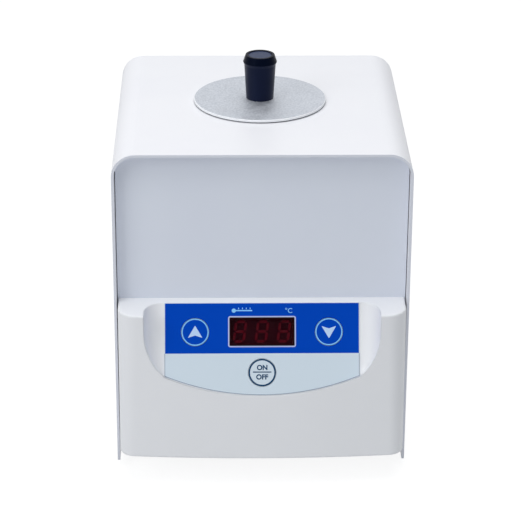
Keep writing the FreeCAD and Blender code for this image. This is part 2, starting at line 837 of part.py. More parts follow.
def bezel_outline(inset, level):
    """The bezel's plan at one height, set in from its wall. Upwards, its front leans back and its corners widen."""
    share = (level - size("bezel_low_z")) / (size("ledge_z") - size("bezel_low_z"))
    half = size("bezel_half") - inset
    low_corner = size("bezel_low_corner")
    corner = low_corner + share * (size("bezel_corner") - low_corner) - inset
    bow = size("bezel_bow") - inset
    bow_y = size("front_y") - size("bezel_reach") + share * size("bezel_lean") + size("bezel_bow")
    corner_x = half - corner
    reach = bow - corner
    corner_y = bow_y - math.sqrt(reach ** 2 - corner_x ** 2)
    lean = math.asin(corner_x / reach)
    turn = (math.pi / 2 + lean) / 2
    meet_x, meet_y = bow * math.sin(lean), bow_y - bow * math.cos(lean)
    mid_x, mid_y = corner_x + corner * math.sin(turn), corner_y - corner * math.cos(turn)
    back = size("panel_y")
    right, right_meet = (half, corner_y, level), (meet_x, meet_y, level)
    left, left_meet = (-half, corner_y, level), (-meet_x, meet_y, level)
    return Part.Wire([
        line((-half, back, level), (half, back, level)),
        line((half, back, level), right),
        arc(right, (mid_x, mid_y, level), right_meet),
        arc(right_meet, (0, bow_y - bow, level), left_meet),
        arc(left_meet, (-mid_x, mid_y, level), left),
        line(left, (-half, back, level)),
    ])


def bezel_prism(inset, low, high):
    """The bezel's block between two heights, set in from its outer wall."""
    return Part.makeLoft([bezel_outline(inset, low), bezel_outline(inset, high)], True, True)


def keypad_edges(margin, low_margin, top):
    """The keypad's outline on the slope, made wider and longer: straight sides and a bowed lower edge."""
    half = size("keypad_width") / 2 + margin
    side, low = -size("keypad_side") - margin, -size("keypad_length") - low_margin
    return [
        line((-half, top, 0), (half, top, 0)),
        line((half, top, 0), (half, side, 0)),
        arc((half, side, 0), (0, low, 0), (-half, side, 0)),
        line((-half, side, 0), (-half, top, 0)),
    ]


def cheek_section(side, up, wall_x, high):
    """A slice of one cheek's cut, across the slope: a cove from the floor up to the wall."""
    floor_x = size("keypad_width") / 2 + size("scoop_margin")
    cove = wall_x - floor_x
    near_x = floor_x - size("scoop_cheek")
    diagonal = cove * (1 - math.sqrt(0.5))
    foot, rise = (side * floor_x, up, 0), (side * wall_x, up, cove)
    middle = (side * (wall_x - diagonal), up, diagonal)
    far_top, near_top = (side * wall_x, up, high), (side * near_x, up, high)
    near_foot = (side * near_x, up, 0)
    return Part.Wire([
        line(near_foot, foot), arc(foot, middle, rise), line(rise, far_top), line(far_top, near_top),
        line(near_top, near_foot),
    ])


CHEEK_SLICES = 6


def scoop_solid():
    """The space in front of the keypad: a well over it, and a coved cheek at each side."""
    high = 2 * size("bezel_depth")
    placement = slope_placement()
    margin, turn = size("scoop_margin"), size("scoop_turn")
    wall = size("scoop_half")
    sweep = math.acos(1 - (size("scoop_cheek") - 2 * margin) / turn)
    bend = turn * math.sin(sweep) - size("keypad_side") + margin
    solid = prism(keypad_edges(margin, 2 * margin, high), placement, high)
    angles = [sweep * i / CHEEK_SLICES for i in range(CHEEK_SLICES + 1)]
    for side in (-1, 1):
        straight = [cheek_section(side, up, wall, high) for up in (high, bend)]
        curved = [cheek_section(side, bend - turn * math.sin(a), wall - turn * (1 - math.cos(a)), high)
                  for a in angles]
        for sections, ruled in ((straight, True), (curved, False)):
            cheek = Part.makeLoft(sections, True, ruled)
            cheek.Placement = placement
            solid = solid.fuse(cheek)
    return solid.removeSplitter()


def slope_rods(points, radius, low, high):
    """Round bars that stand on the slope's axes between two depths."""
    rods = []
    for x, up in points:
        start = Vector(value(x), value(up), low)
        bar = Part.makeCylinder(radius, high - low, start, Z_AXIS)
        bar.Placement = slope_placement()
        rods.append(bar)
    return rods


def bezel_rods(radius, length):
    """Round bars at the bezel's screws, from the front panel towards the viewer."""
    return [Part.makeCylinder(radius, length, Vector(value(x), size("panel_y"), value(z)), -Y_AXIS)
            for x, z in BOSSES]


def bezel_solid():
    """The moulded shell with its scoop, screw bosses, key wells and window."""
    low, high, wall = size("bezel_low_z"), size("ledge_z"), size("bezel_wall")
    body = bezel_prism(0, low, high)
    rims = [e for e in body.Edges if e.BoundBox.ZLength < SAME and e.BoundBox.YMin < size("panel_y") - SAME]
    body = body.makeFillet(size("bezel_edge"), rims).cut(scoop_solid())
    border = size("scoop_cheek") + wall
    far = 2 * high
    shelf = prism(keypad_edges(border, border, far), slope_placement(-wall), far)
    hollow = bezel_prism(wall, low + wall, high - wall).cut(shelf)
    front = size("control_front")
    bosses = [b.common(hollow) for b in bezel_rods(size("boss_width") / 2, size("bezel_depth"))]
    bosses += slope_rods(CONTROL_POSTS, size("control_boss") / 2, -front, -wall)
    body = body.cut(hollow).fuse(bosses)
    gap = size("key_gap")
    holes = slope_rods(CONTROL_POSTS, hole_radius("small"), -front, -wall)
    holes += slope_rods(KEYS.values(), size("key_width") / 2 + 2 * gap, -size("key_floor"), OVER)
    holes += slope_rods(KEYS.values(), size("key_stem") / 2 + 2 * gap, -wall - OVER, OVER)
    holes += bezel_rods(hole_radius("screw"), 2 * size("screw_grip"))
    width, height = size("window_width") - wall, size("window_height") - wall
    corner = Vector(-width / 2, -size("window_drop") - height / 2, -wall - OVER)
    window = Part.makeBox(width, height, wall + 2 * OVER, corner)
    window.Placement = slope_placement()
    return body.cut([*holes, window]).removeSplitter()


bezel = doc.addObject("Part::Feature", "bezel_shell")
bezel.Shape = bezel_solid()
node("front_bezel", bezel)
node("bezel_screws", group("bezel_screw_set", [
    screw(f"bezel_screw_{i}", "Y", at, "panel_in_y", -1, "screw", "sheet + screw_grip")
    for i, at in enumerate(BOSSES)
]))

# Keypad overlay, window and keys, on the slope's own axes
BOW = "(keypad_length - keypad_side)"
BOW_WIDTH = f"(keypad_width ^ 2 / 4 + {BOW} ^ 2) / {BOW}"
THROUGH_FILM = past("0", "film")
overlay_blank = doc.addObject("Part::Common", "overlay_blank")
overlay_blank.Base = box("overlay_sheet", both("keypad_width / 2"), ("-keypad_length", "0"), ("0", "film"))
overlay_blank.Tool = rod("overlay_bow", "Z", ("0", f"{BOW_WIDTH} / 2 - keypad_length"), THROUGH_FILM,
                         BOW_WIDTH)


def upright(edge):
    """Does this edge run out of the slope?"""
    return runs_along(edge, Z_AXIS)


def window_plate(name, gap, out):
    """A plate of the display window's outline, smaller all round by a gap."""
    plate = box(f"{name}_plate", about("0", f"window_width - 2 * {gap}"),
                about("-window_drop", f"window_height - 2 * {gap}"), out)
    return rounded(name, plate, size("window_corner"), upright)


overlay_holes = [rod(f"{name}_key_hole", "Z", at, THROUGH_FILM, "key_width + 2 * key_gap")
                 for name, at in KEYS.items()]
overlay_holes.append(window_plate("overlay_window", "0", THROUGH_FILM))
node("keypad_overlay", on_slope(cut("overlay", overlay_blank, *overlay_holes)))
node("display_lens", on_slope(window_plate("lens", "lens_gap", ("0", "film"))))

STEM_TIP = "2 * key_travel - switch_face - switch_well"
switches = []
for name, (x, up) in KEYS.items():
    key = turned(f"{name}_key", [
        ("0", STEM_TIP), ("key_stem / 2", STEM_TIP), ("key_stem / 2", "film - key_thick"),
        ("key_width / 2", "film - key_thick"), ("key_width / 2", "film"), ("0", "film"),
    ])
    node(f"key_{name}", on_slope(key, x, up))
    housing = box(f"{name}_switch_case", about("0", "switch_side"), about("0", "switch_side"),
                  ("-control_front", "-switch_face"))
    well = rod(f"{name}_switch_well", "Z", ("0", "0"),
               ("-switch_face - switch_well", f"{OVER} - switch_face"), "key_stem + 2 * key_gap")
    switches.append(on_slope(cut(f"{name}_switch", housing, well), x, up))
node("tact_switches", group("tact_switch_set", switches))

# Display: a three-digit module and the segments on its face
node("display_module", slope_box(
    "module_case", about("0", "module_width"), about("-window_drop", "module_height"),
    ("-control_front", "-bezel_wall - key_gap")))


def segment(middle, length, stands):
    """One segment's outline: a bar with pointed ends."""
    half, thick = length / 2, size("segment_width") / 2
    points = [(-half, 0), (thick - half, thick), (half - thick, thick), (half, 0),
              (half - thick, -thick), (thick - half, -thick)]
    if stands:
        points = [(y, x) for x, y in points]
    return [(middle[0] + x, middle[1] + y) for x, y in points]


def digit_solids(centre):
    """The seven segments of one slanted digit."""
    width = size("digit_width") - size("segment_width")
    height = size("digit_height") - size("segment_width")
    gap = size("segment_gap")
    bars = [segment((0, y), width - 2 * gap, False) for y in (-height / 2, 0, height / 2)]
    bars += [segment((x, y), height / 2 - 2 * gap, True)
             for x in (-width / 2, width / 2) for y in (-height / 4, height / 4)]
    slant = math.tan(math.radians(size("digit_slant")))
    face = -size("bezel_wall") - size("key_gap")
    solids = []
    for points in bars:
        corners = [Vector(centre + x + slant * y, y - size("window_drop"), face) for x, y in points]
        edge = Part.makePolygon([*corners, corners[0]])
        solids.append(Part.Face(edge).extrude(Vector(0, 0, size("segment_thick"))))
    return solids


digits = doc.addObject("Part::Feature", "digits")
digits.Shape = Part.makeCompound([s for i in (-1, 0, 1) for s in digit_solids(i * size("digit_pitch"))])
node("display_digits", on_slope(digits))

# Control board behind the keypad, its screws and the ribbon's headers
control_sheet = box("control_sheet", both("control_half"), about("-control_drop", "control_height"),
                    ("-control_back", "-control_front"))
control_holes = [rod(f"control_hole{i}", "Z", at, (f"-control_back - {OVER}", f"{OVER} - control_front"),
                     "small_shank + hole_clear") for i, at in enumerate(CONTROL_POSTS)]
node("control_board", on_slope(cut("control", control_sheet, *control_holes)))
node("control_board_screws", group("control_screw_set", [
    on_slope(screw(f"control_screw_{i}", "Z", at, "-control_back", 1, "small", "board_thick + screw_grip"))
    for i, at in enumerate(CONTROL_POSTS)
]))
slope_header = slope_box("slope_header", about("0", "header_width"), about("-control_drop", "header_depth"),
                         ("-control_back - header_height", "-control_back"))
board_header = box("board_header", about("0", "header_width"), about("header_y", "header_depth"),
                   ("power_z", "power_z + header_height"))
node("ribbon_headers", group("header_pair", [slope_header, board_header]))


# Leads and ribbon: straight runs joined by tangent arcs
ARC_ROOM = 0.45
VOLUME_SLACK = 0.01


def bent_path(points, bend):
    """A wire through points, with each corner rounded as far as its two runs allow."""
    points = [Vector(*p) for p in points]
    edges, last = [], points[0]
    for before, corner, after in zip(points, points[1:], points[2:]):
        into, away = corner - before, after - corner
        half_turn = into.getAngle(away) / 2
        room = ARC_ROOM * min(into.Length, away.Length)
        setback = min(bend * math.tan(half_turn), room)
        radius = setback / math.tan(half_turn)
        start = corner - into.normalize() * setback
        end = corner + away.normalize() * setback
        inward = (end + start) / 2 - corner
        middle = corner + inward.normalize() * (radius / math.cos(half_turn) - radius)
        edges += [Part.LineSegment(last, start).toShape(), Part.Arc(start, middle, end).toShape()]
        last = end
    edges.append(Part.LineSegment(last, points[-1]).toShape())
    return Part.Wire(edges)


def swept(path, section):
    """A section carried along a path; its volume has to match area times length."""
    solid = path.makePipeShell([section], True, False)
    expected = Part.Face(section).Area * path.Length
    if not solid.isValid() or abs(solid.Volume - expected) > VOLUME_SLACK * expected:
        raise ValueError("a lead was not swept cleanly")
    return solid


def lead(*points):
    """A round insulated lead through points."""
    start = Vector(*points[0])
    ring = Part.Circle(start, Vector(*points[1]) - start, size("lead_width") / 2).toShape()
    return swept(bent_path(points, size("lead_bend")), Part.Wire(ring))


def ribbon():
    """The flat cable from the control board's header, through the panel, down to the power board."""
    slope = slope_placement()
    depth = size("control_back") + size("header_height")
    start = slope.multVec(Vector(0, -size("control_drop"), -depth))
    inward = slope.Rotation.multVec(-Z_AXIS)
    end = Vector(0, size("header_y"), size("power_z") + size("header_height"))
    corner = start + inward * ((end.y - start.y) / inward.y)
    across = X_AXIS * (size("ribbon_width") / 2)
    thick = inward.cross(X_AXIS) * (size("ribbon_thick") / 2)
    sides = (across + thick, thick - across, -across - thick, across - thick)
    corners = [start + side for side in sides]
    section = Part.makePolygon([*corners, corners[0]])
    return swept(bent_path([start, corner, end], size("ribbon_bend")), section)


def shaped(name, *solids):
    """An object that holds solids which have no simpler form."""
    piece = doc.addObject("Part::Feature", name)
    piece.Shape = Part.makeCompound(list(solids))
    return piece


node("ribbon_cable", shaped("ribbon_run", ribbon()))

# Heated well: collar, tube block, heater, insulation and shield
AT_WELL = ("0", "well_y")
node("well_collar", turned("collar", [
    ("collar_bore / 2", "block_top_z - skirt_lap"), ("collar_skirt / 2", "block_top_z - skirt_lap"),
    ("collar_skirt / 2", "collar_low_z"), ("collar_flange / 2", "collar_low_z"),
    ("collar_flange / 2", "ceiling_z"), ("well_hole / 2 - collar_gap", "ceiling_z"),
    ("well_hole / 2 - collar_gap", "top_z - collar_gap"), ("collar_bore / 2", "top_z - collar_gap"),
], *AT_WELL))

block = turned("block", [
    ("0", "-block_height"), ("block_width / 2", "-block_height"), ("block_width / 2", "-block_edge"),
    ("block_width / 2 - block_edge", "0"), ("0", "0"),
], *AT_WELL, "block_top_z")
TUBE_COUNT = 6


def sunk(name, across, up, width, depth, from_below=False):
    """A blind round hole in the tube block, from its top or its underside."""
    sketch = new_sketch(block, f"{name}_circle", "XY_Plane")
    if from_below:
        sketch.setExpression("AttachmentOffset.Base.z", sized("-block_height"))
    circles(sketch, [(across, up, width)])
    pocket = block.newObject("PartDesign::Pocket", name)
    pocket.Profile = sketch
    pocket.Reversed = from_below
    bind(pocket, Length=depth)
    return pocket


tube_well = sunk("tube_well", "tube_circle / 2", "0", "tube_bore", "tube_depth")
tube_ring = block.newObject("PartDesign::PolarPattern", "tube_ring")
tube_ring.Originals = [tube_well]
tube_ring.Axis = (origin_part(block, "Z_Axis"), [""])
tube_ring.Angle = 360
tube_ring.Occurrences = TUBE_COUNT
block.Tip = tube_ring
sunk("centre_well", "0", "0", "tube_bore", "tube_depth")
sunk("bolt_hole", "0", "0", "bolt_shank + hole_clear", "bolt_grip + hole_end", from_below=True)
sunk("probe_hole", "0", "-probe_offset", "probe_width + hole_clear", "probe_grip + hole_end",
     from_below=True)
node("tube_block", block)

HEATER_Z = ("heater_low_z", "heater_low_z + heater_height")
HEATER_CUT = past(*HEATER_Z)
HEATER_MID = "heater_low_z + heater_height / 2"
LUG_X = "(heater_outer + lug_reach)"
heater_blank = [rod("heater_sheath", "Z", AT_WELL, HEATER_Z, "2 * heater_outer")]
for i, sign in enumerate((-1, 1)):
    heater_blank.append(box(
        f"heater_lug{i}", (f"-{LUG_X}", "0"),
        about(f"well_y + {sign} * (lug_gap + lug_thick) / 2", "lug_thick"),
        about(HEATER_MID, "lug_height")))
    heater_blank.append(box(
        f"heater_lead_box{i}", ("-heater_outer - lead_box", "0"),
        about(f"well_y + {sign} * lead_spread / 2", "lead_box"),
        ("heater_low_z", "heater_low_z + lead_box")))
heater_bore = rod("heater_bore", "Z", AT_WELL, HEATER_CUT, "2 * heater_radius")
heater_split = box("heater_split", (f"-{LUG_X} - {OVER}", "0"), about("well_y", "lug_gap"), HEATER_CUT)
CLAMP_AT = (f"lug_reach / 3 - {LUG_X}", HEATER_MID)
CLAMP_HALF = "(lug_gap / 2 + lug_thick)"
CLAMP_CUT = past(f"well_y - {CLAMP_HALF}", f"well_y + {CLAMP_HALF}")
lug_hole = rod("lug_hole", "Y", CLAMP_AT, CLAMP_CUT, SCREW_HOLE)
node("band_heater", cut("heater", fuse("heater_blank", *heater_blank), heater_bore, heater_split, lug_hole))
node("band_clamp_screw", screw("clamp_screw", "Y", CLAMP_AT, f"well_y - {CLAMP_HALF}", 1, "screw",
                               f"2 * {CLAMP_HALF} + lug_thick"))

SLEEVE_TOP = "collar_low_z - shield_gap"
LEAD_X = "-heater_outer - lead_box / 2"
sleeve_slot = box("sleeve_slot", ("-insulation_width", "0"), about("well_y", "slot_width"),
                  (f"block_low_z - {OVER}", f"{HEATER_Z[1]} + heater_thick"))
node("insulation_sleeve", cut(
    "sleeve", rod("sleeve_blank", "Z", AT_WELL, ("block_low_z", SLEEVE_TOP), "insulation_width"),
    rod("sleeve_bore", "Z", AT_WELL, past("block_low_z", SLEEVE_TOP), "insulation_bore"), sleeve_slot))


def under_block(name, low, high):
    """The openings below the block for its bolt, its probe and the heater's leads."""
    span = past(low, high)
    return [
        rod(f"{name}_bolt_way", "Z", AT_WELL, span, "bolt_shank + hole_clear"),
        rod(f"{name}_probe_way", "Z", ("0", "well_y - probe_offset"), span, "probe_width + hole_clear"),
        box(f"{name}_lead_way", (f"{LEAD_X} - lead_box", "-heater_outer"), about("well_y", "slot_width"),
            span),
    ]


node("insulation_base", cut(
    "base_pad", rod("base_pad_blank", "Z", AT_WELL, ("plate_top_z", "block_low_z"), "insulation_width"),
    *under_block("pad", "plate_top_z", "block_low_z")))
node("heat_shield", cut(
    "shield",
    rod("shield_blank", "Z", AT_WELL, ("plate_top_z", SLEEVE_TOP), "2 * (shield_radius + shield_wall)"),
    rod("shield_bore", "Z", AT_WELL, past("plate_top_z", SLEEVE_TOP), "2 * shield_radius")))

# What holds the well up: a plate on four posts, and one bolt into the block
PLATE_CUT = past("plate_low_z", "plate_top_z")
LARGE_HOLE = "large_shank + hole_clear"
support_blank = box(
    "support_blank", both("post_x + plate_margin"),
    ("post_front_y - plate_margin", "post_rear_y + plate_margin"), ("plate_low_z", "plate_top_z"))
node("support_plate", cut(
    "support", support_blank, *under_block("support", "plate_low_z", "plate_top_z"),
    *[rod(f"support_hole{i}", "Z", at, PLATE_CUT, LARGE_HOLE) for i, at in enumerate(POSTS)]))
posts, post_screws = [], []
for i, at in enumerate(POSTS):
    posts.append(cut(
        f"post_{i}", rod(f"post_blank{i}", "Z", at, ("floor_z", "plate_low_z"), "post_width"),
        rod(f"post_low_hole{i}", "Z", at, (f"floor_z - {OVER}", "floor_z + screw_grip + hole_end"),
            LARGE_HOLE),
        rod(f"post_high_hole{i}", "Z", at, ("plate_low_z - screw_grip - hole_end", f"plate_low_z + {OVER}"),
            LARGE_HOLE)))
    post_screws.append(screw(f"post_low_screw{i}", "Z", at, "chassis_z", 1, "large", "sheet + screw_grip"))
    post_screws.append(screw(f"post_high_screw{i}", "Z", at, "plate_top_z", -1, "large",
                             "plate_thick + screw_grip"))
node("support_posts", group("post_set", posts))
node("support_screws", group("support_screw_set", post_screws))
node("block_bolt", fuse(
    "bolt", rod("bolt_cap", "Z", AT_WELL, ("plate_low_z - bolt_rise", "plate_low_z"), "bolt_head"),
    rod("bolt_stem", "Z", AT_WELL, ("plate_low_z", "block_low_z + bolt_grip"), "bolt_shank")))

# Lid: plate, locating insert, knob and its inset cap, held by one screw from below
LID_BORE = "(large_shank + hole_clear) / 2"
INSERT_RIM = "collar_bore / 2 - insert_gap"
CAP_FLOOR = "knob_height - cap_sink - cap_depth"
KNOB_END = "knob_grip + hole_end"
node("lid_plate", turned("plate", [
    (LID_BORE, "top_z"), ("lid_width / 2 - lid_relief", "top_z"),
    ("lid_width / 2 - lid_relief", "top_z + lid_gap"), ("lid_width / 2", "top_z + lid_gap"),
    ("lid_width / 2", "lid_top_z - lid_edge"), ("lid_width / 2 - lid_edge", "lid_top_z"),
    (LID_BORE, "lid_top_z"),
], *AT_WELL))
node("lid_insert", turned("insert", [
    (LID_BORE, "insert_low_z"), (INSERT_RIM, "insert_low_z"), (INSERT_RIM, "top_z"), (LID_BORE, "top_z"),
], *AT_WELL))
node("lid_knob", turned("knob", [
    (LID_BORE, "0"), ("knob_foot / 2", "0"), ("knob_neck / 2", "knob_neck_height"),
    ("knob_collar / 2", "knob_collar_height"), ("knob_top / 2", "knob_height"),
    ("cap_width / 2 + cap_gap", "knob_height"), ("cap_width / 2 + cap_gap", CAP_FLOOR), ("0", CAP_FLOOR),
    ("0", KNOB_END), (LID_BORE, KNOB_END),
], *AT_WELL, "lid_top_z"))
node("knob_cap", turned("cap", [
    ("0", CAP_FLOOR), ("cap_width / 2", CAP_FLOOR), ("cap_width / 2", "knob_height - cap_sink"),
    ("0", "knob_height - cap_sink"),
], *AT_WELL, "lid_top_z"))
node("lid_screw", screw("lid_pan_screw", "Z", AT_WELL, "insert_low_z", 1, "large",
                        "insert_thick + lid_thick + knob_grip"))

# Power board and what stands on it
BOARD_GRIP = "power_lift / 2 - hole_end / 2"
power_sheet = box("power_sheet", both("power_half"), ("power_front_y", "power_rear_y"),
                  ("power_low_z", "power_z"))
power_holes, standoffs, board_screws = [], [], []
for i, at in enumerate(STANDOFFS):
    power_holes.append(rod(f"power_hole{i}", "Z", at, past("power_low_z", "power_z"), SCREW_HOLE))
    standoffs.append(cut(
        f"standoff_{i}", rod(f"standoff_blank{i}", "Z", at, ("floor_z", "power_low_z"), "standoff_width"),
        rod(f"standoff_bore{i}", "Z", at, past("floor_z", "power_low_z"), SCREW_HOLE)))
    board_screws.append(screw(f"board_low_screw{i}", "Z", at, "chassis_z", 1, "screw",
                              f"sheet + {BOARD_GRIP}"))
    board_screws.append(screw(f"board_high_screw{i}", "Z", at, "power_z", -1, "screw",
                              f"board_thick + {BOARD_GRIP}"))
node("power_board", cut("power", power_sheet, *power_holes))
node("board_standoffs", group("standoff_set", standoffs))
node("board_screws", group("board_screw_set", board_screws))

TRANSFORMER_X = ("transformer_x", "transformer_x + transformer_width")
TRANSFORMER_Y = ("transformer_y", "transformer_y + transformer_length")
TRANSFORMER_TOP = "power_z + transformer_height"
node("transformer", fuse(
    "transformer_block",
    box("transformer_core", TRANSFORMER_X, about("transformer_y + transformer_length / 2", "core_depth"),
        ("power_z + core_lift", TRANSFORMER_TOP)),
    box("transformer_bobbin", (f"{TRANSFORMER_X[0]} + core_lift", f"{TRANSFORMER_X[1]} - core_lift"),
        TRANSFORMER_Y, ("power_z", f"{TRANSFORMER_TOP} - core_lift"))))

SINK_FACE = "sink_x - sink_width"
SINK_Z = ("power_z", "power_z + sink_height")
FIN_STEPS = range(-4, 5)
sink_fins = [box(f"sink_fin{i}", (SINK_FACE, "sink_x"), about(f"well_y + {i} * fin_pitch", "fin_thick"),
                 SINK_Z) for i in FIN_STEPS]
sink_web = box("sink_web", (SINK_FACE, f"{SINK_FACE} + 2 * fin_thick"), about("well_y", "sink_length"),
               SINK_Z)
node("heat_sink", fuse("sink", sink_web, *sink_fins))
triac_pack = box("triac_pack", (f"{SINK_FACE} - triac_thick", SINK_FACE), about("well_y", "triac_width"),
                 ("power_z + triac_lift", "power_z + triac_lift + triac_height"))
triac_legs = [
    rod(f"triac_leg{i}", "Z", (f"{SINK_FACE} - triac_thick / 2", f"well_y + {i} * triac_width / 4"),
        ("power_z", "power_z + triac_lift"), "triac_leg") for i in (-1, 0, 1)
]
node("triac", fuse("triac_case", triac_pack, *triac_legs))
node("filter_capacitors", group("capacitor_pair", [
    turned(f"capacitor_{name}", [
        ("0", "0"), ("capacitor_width / 2", "0"),
        ("capacitor_width / 2", "capacitor_height - capacitor_edge"),
        ("capacitor_width / 2 - capacitor_edge", "capacitor_height"), ("0", "capacitor_height"),
    ], f"{sign}capacitor_pitch / 2", "capacitor_y", "power_z")
    for name, sign in (("left", "-"), ("right", ""))
]))

TERMINALS = {"probe": 0, "heater_left": 1, "heater_right": 2, "switched": 3, "neutral": 4}
TERMINAL_X = ("terminal_x", "terminal_x + terminal_depth")
TERMINAL_Z = ("power_z", "power_z + terminal_height")
terminal_blank = box(
    "terminal_blank", TERMINAL_X,
    ("terminal_y - terminal_pitch / 2", f"terminal_y + ({len(TERMINALS)} - 1 / 2) * terminal_pitch"),
    TERMINAL_Z)
terminal_holes = []
for name, i in TERMINALS.items():
    y = f"terminal_y + {i} * terminal_pitch"
    terminal_holes.append(rod(f"{name}_entry", "X", (y, "entry_z"), (f"terminal_x - {OVER}", "entry_x"),
                              "lead_width + 2 * key_gap"))
    terminal_holes.append(rod(f"{name}_well", "Z", ("terminal_x + terminal_depth / 2", y),
                              (f"{TERMINAL_Z[1]} - screw_rise", f"{TERMINAL_Z[1]} + {OVER}"), "screw_head"))
node("terminal_block", cut("terminals", terminal_blank, *terminal_holes))

# Mains inlet with its pins and fuse drawer
INLET_X = "-inlet_offset"
inlet_flange = box("inlet_flange_plate", about(INLET_X, "inlet_flange_width"), ("back_y", "inlet_face_y"),
                   about("inlet_z", "inlet_flange_height"))
inlet_case = box("inlet_case", about(INLET_X, "inlet_body_width"), ("inlet_inner_y", "back_y"),
                 about("inlet_z", "inlet_body_height"))
HALF_W, HALF_H = "socket_width / 2", "socket_height / 2"
socket_cut = padded("socket_cut", "XZ_Plane", [
    (f"-{HALF_W}", f"-{HALF_H}"), (HALF_W, f"-{HALF_H}"), (HALF_W, f"{HALF_H} - socket_key"),
    (f"{HALF_W} - socket_key", HALF_H), (f"socket_key - {HALF_W}", HALF_H),
    (f"-{HALF_W}", f"{HALF_H} - socket_key"),
], f"socket_depth + {OVER}", reverse=True)
move(socket_cut, INLET_X, "inlet_face_y - socket_depth", "socket_z")
drawer_bay = box("drawer_bay", about(INLET_X, "drawer_width + 2 * drawer_gap"),
                 ("drawer_end_y - drawer_gap", f"inlet_face_y + {OVER}"),
                 about("drawer_z", "drawer_height + 2 * drawer_gap"))
PINS = {
    "line": (f"{INLET_X} + pin_pitch / 2", "pin_z"),
    "neutral": (f"{INLET_X} - pin_pitch / 2", "pin_z"),
    "earth": (INLET_X, "pin_z + earth_rise"),
}


def pin(name, at, gap, back, front):
    """A flat blade, or with a gap the way through the housing that holds it."""
    return box(name, about(at[0], f"pin_thick + 2 * {gap}"), (back, front),
               about(at[1], f"pin_height + 2 * {gap}"))


inlet_ways = [pin(f"{name}_way", at, "rocker_pin_gap", f"inlet_inner_y - {OVER}",
                  f"inlet_face_y - socket_depth + {OVER}") for name, at in PINS.items()]
inlet_ways += [rod(f"inlet_flange_hole{i}", "Y", at, past("back_y", "inlet_face_y"), SCREW_HOLE)
               for i, at in enumerate(INLET_SCREWS)]
node("power_inlet", cut("inlet", fuse("inlet_blank", inlet_flange, inlet_case), socket_cut, drawer_bay,
                        *inlet_ways))
node("inlet_pins", group("pin_set", [
    pin(f"{name}_pin", at, "0", "tab_y", "inlet_face_y - pin_setback") for name, at in PINS.items()
]))
node("inlet_screws", group("inlet_screw_set", [
    screw(f"inlet_screw_{i}", "Y", at, "inlet_face_y", -1, "screw", "inlet_flange + sheet + screw_grip / 2")
    for i, at in enumerate(INLET_SCREWS)
]))
CARTRIDGE_Y = "drawer_end_y + cartridge_wall + cartridge_width / 2"
drawer_blank = box("drawer_blank", about(INLET_X, "drawer_width"),
                   ("drawer_end_y", "inlet_face_y + drawer_proud"), about("drawer_z", "drawer_height"))
cartridge_bay = box("cartridge_bay", about(INLET_X, "cartridge_length + 2 * cartridge_gap"),
                    about(CARTRIDGE_Y, "cartridge_width + 2 * cartridge_gap"),
                    ("drawer_z - cartridge_width / 2 - cartridge_gap", "drawer_z + drawer_height"))
finger_notch = box("finger_notch", about(INLET_X, "drawer_width / 3"),
                   ("inlet_face_y", f"inlet_face_y + drawer_proud + {OVER}"),
                   ("drawer_z - drawer_height", "drawer_z - drawer_height / 4"))
node("fuse_drawer", cut("drawer", drawer_blank, cartridge_bay, finger_notch))
node("fuse", rod("cartridge", "X", (CARTRIDGE_Y, "drawer_z"), about(INLET_X, "cartridge_length"),
                 "cartridge_width"))

# Rocker switch
HINGE = ("hinge_y", "rocker_z")
ROCKER_X = "rocker_offset"
rocker_flange = box("rocker_flange_plate", about(ROCKER_X, "rocker_flange_width"),
                    ("back_y", "rocker_face_y"), about("rocker_z", "rocker_flange_height"))
rocker_case = box("rocker_case", about(ROCKER_X, "rocker_body_width"), ("rocker_inner_y", "back_y"),
                  about("rocker_z", "rocker_body_height"))
rocker_bay = box("rocker_bay", about(ROCKER_X, "rocker_width + 2 * rocker_gap"),
                 ("hinge_y - rocker_floor", f"rocker_face_y + {OVER}"),
                 about("rocker_z", "2 * (rocker_radius + rocker_gap)"))
PIVOT_SPAN = "rocker_width + 2 * rocker_pin_length"
pivot_bore = rod("pivot_bore", "X", HINGE, about(ROCKER_X, f"{PIVOT_SPAN} + 2 * rocker_gap"),
                 "rocker_pin + 2 * rocker_pin_gap")
TAB_ZS = [f"rocker_z {sign} rocker_body_height / 4" for sign in "+-"]


def switch_tab(name, z, gap, back):
    """A flat tab at the switch's back, or with a gap the way that holds it."""
    return box(name, about(ROCKER_X, f"pin_height + 2 * {gap}"), (back, "rocker_inner_y + pin_thick"),
               about(z, f"pin_thick / 2 + 2 * {gap}"))


tab_ways = [switch_tab(f"tab_way{i}", z, "rocker_pin_gap", f"rocker_inner_y - {OVER}")
            for i, z in enumerate(TAB_ZS)]
node("power_switch", cut("switch_case", fuse("switch_blank", rocker_flange, rocker_case), rocker_bay,
                         pivot_bore, *tab_ways))
node("switch_tabs", group("switch_tab_pair", [
    switch_tab(f"switch_tab{i}", z, "0", "switch_tab_y") for i, z in enumerate(TAB_ZS)
]))
rocker_half = [
    ("rocker_rise", "rocker_tip"), ("rocker_rise / 3", "rocker_radius - rocker_gap / 2"),
    ("-rocker_rise / 2", "rocker_radius - rocker_gap"), ("-rocker_radius / 2", "rocker_radius / 3"),
]
rocker_blade = padded("rocker_blade", "YZ_Plane", [
    *rocker_half, *[(y, f"-({z})") for y, z in reversed(rocker_half)], ("rocker_rise - rocker_dip", "0"),
], "rocker_width", midplane=True)
rocker_blade.Placement = FreeCAD.Placement(Vector(0, 0, 0), FreeCAD.Rotation(-X_AXIS, FIRST_TURN))
rocker_blade.setExpression("Placement.Rotation.Angle", sized("rocker_throw / 2"))
move(rocker_blade, ROCKER_X, *HINGE)
pivot = rod("pivot", "X", HINGE, about(ROCKER_X, PIVOT_SPAN), "rocker_pin")
node("switch_rocker", fuse("rocker", rocker_blade, pivot))


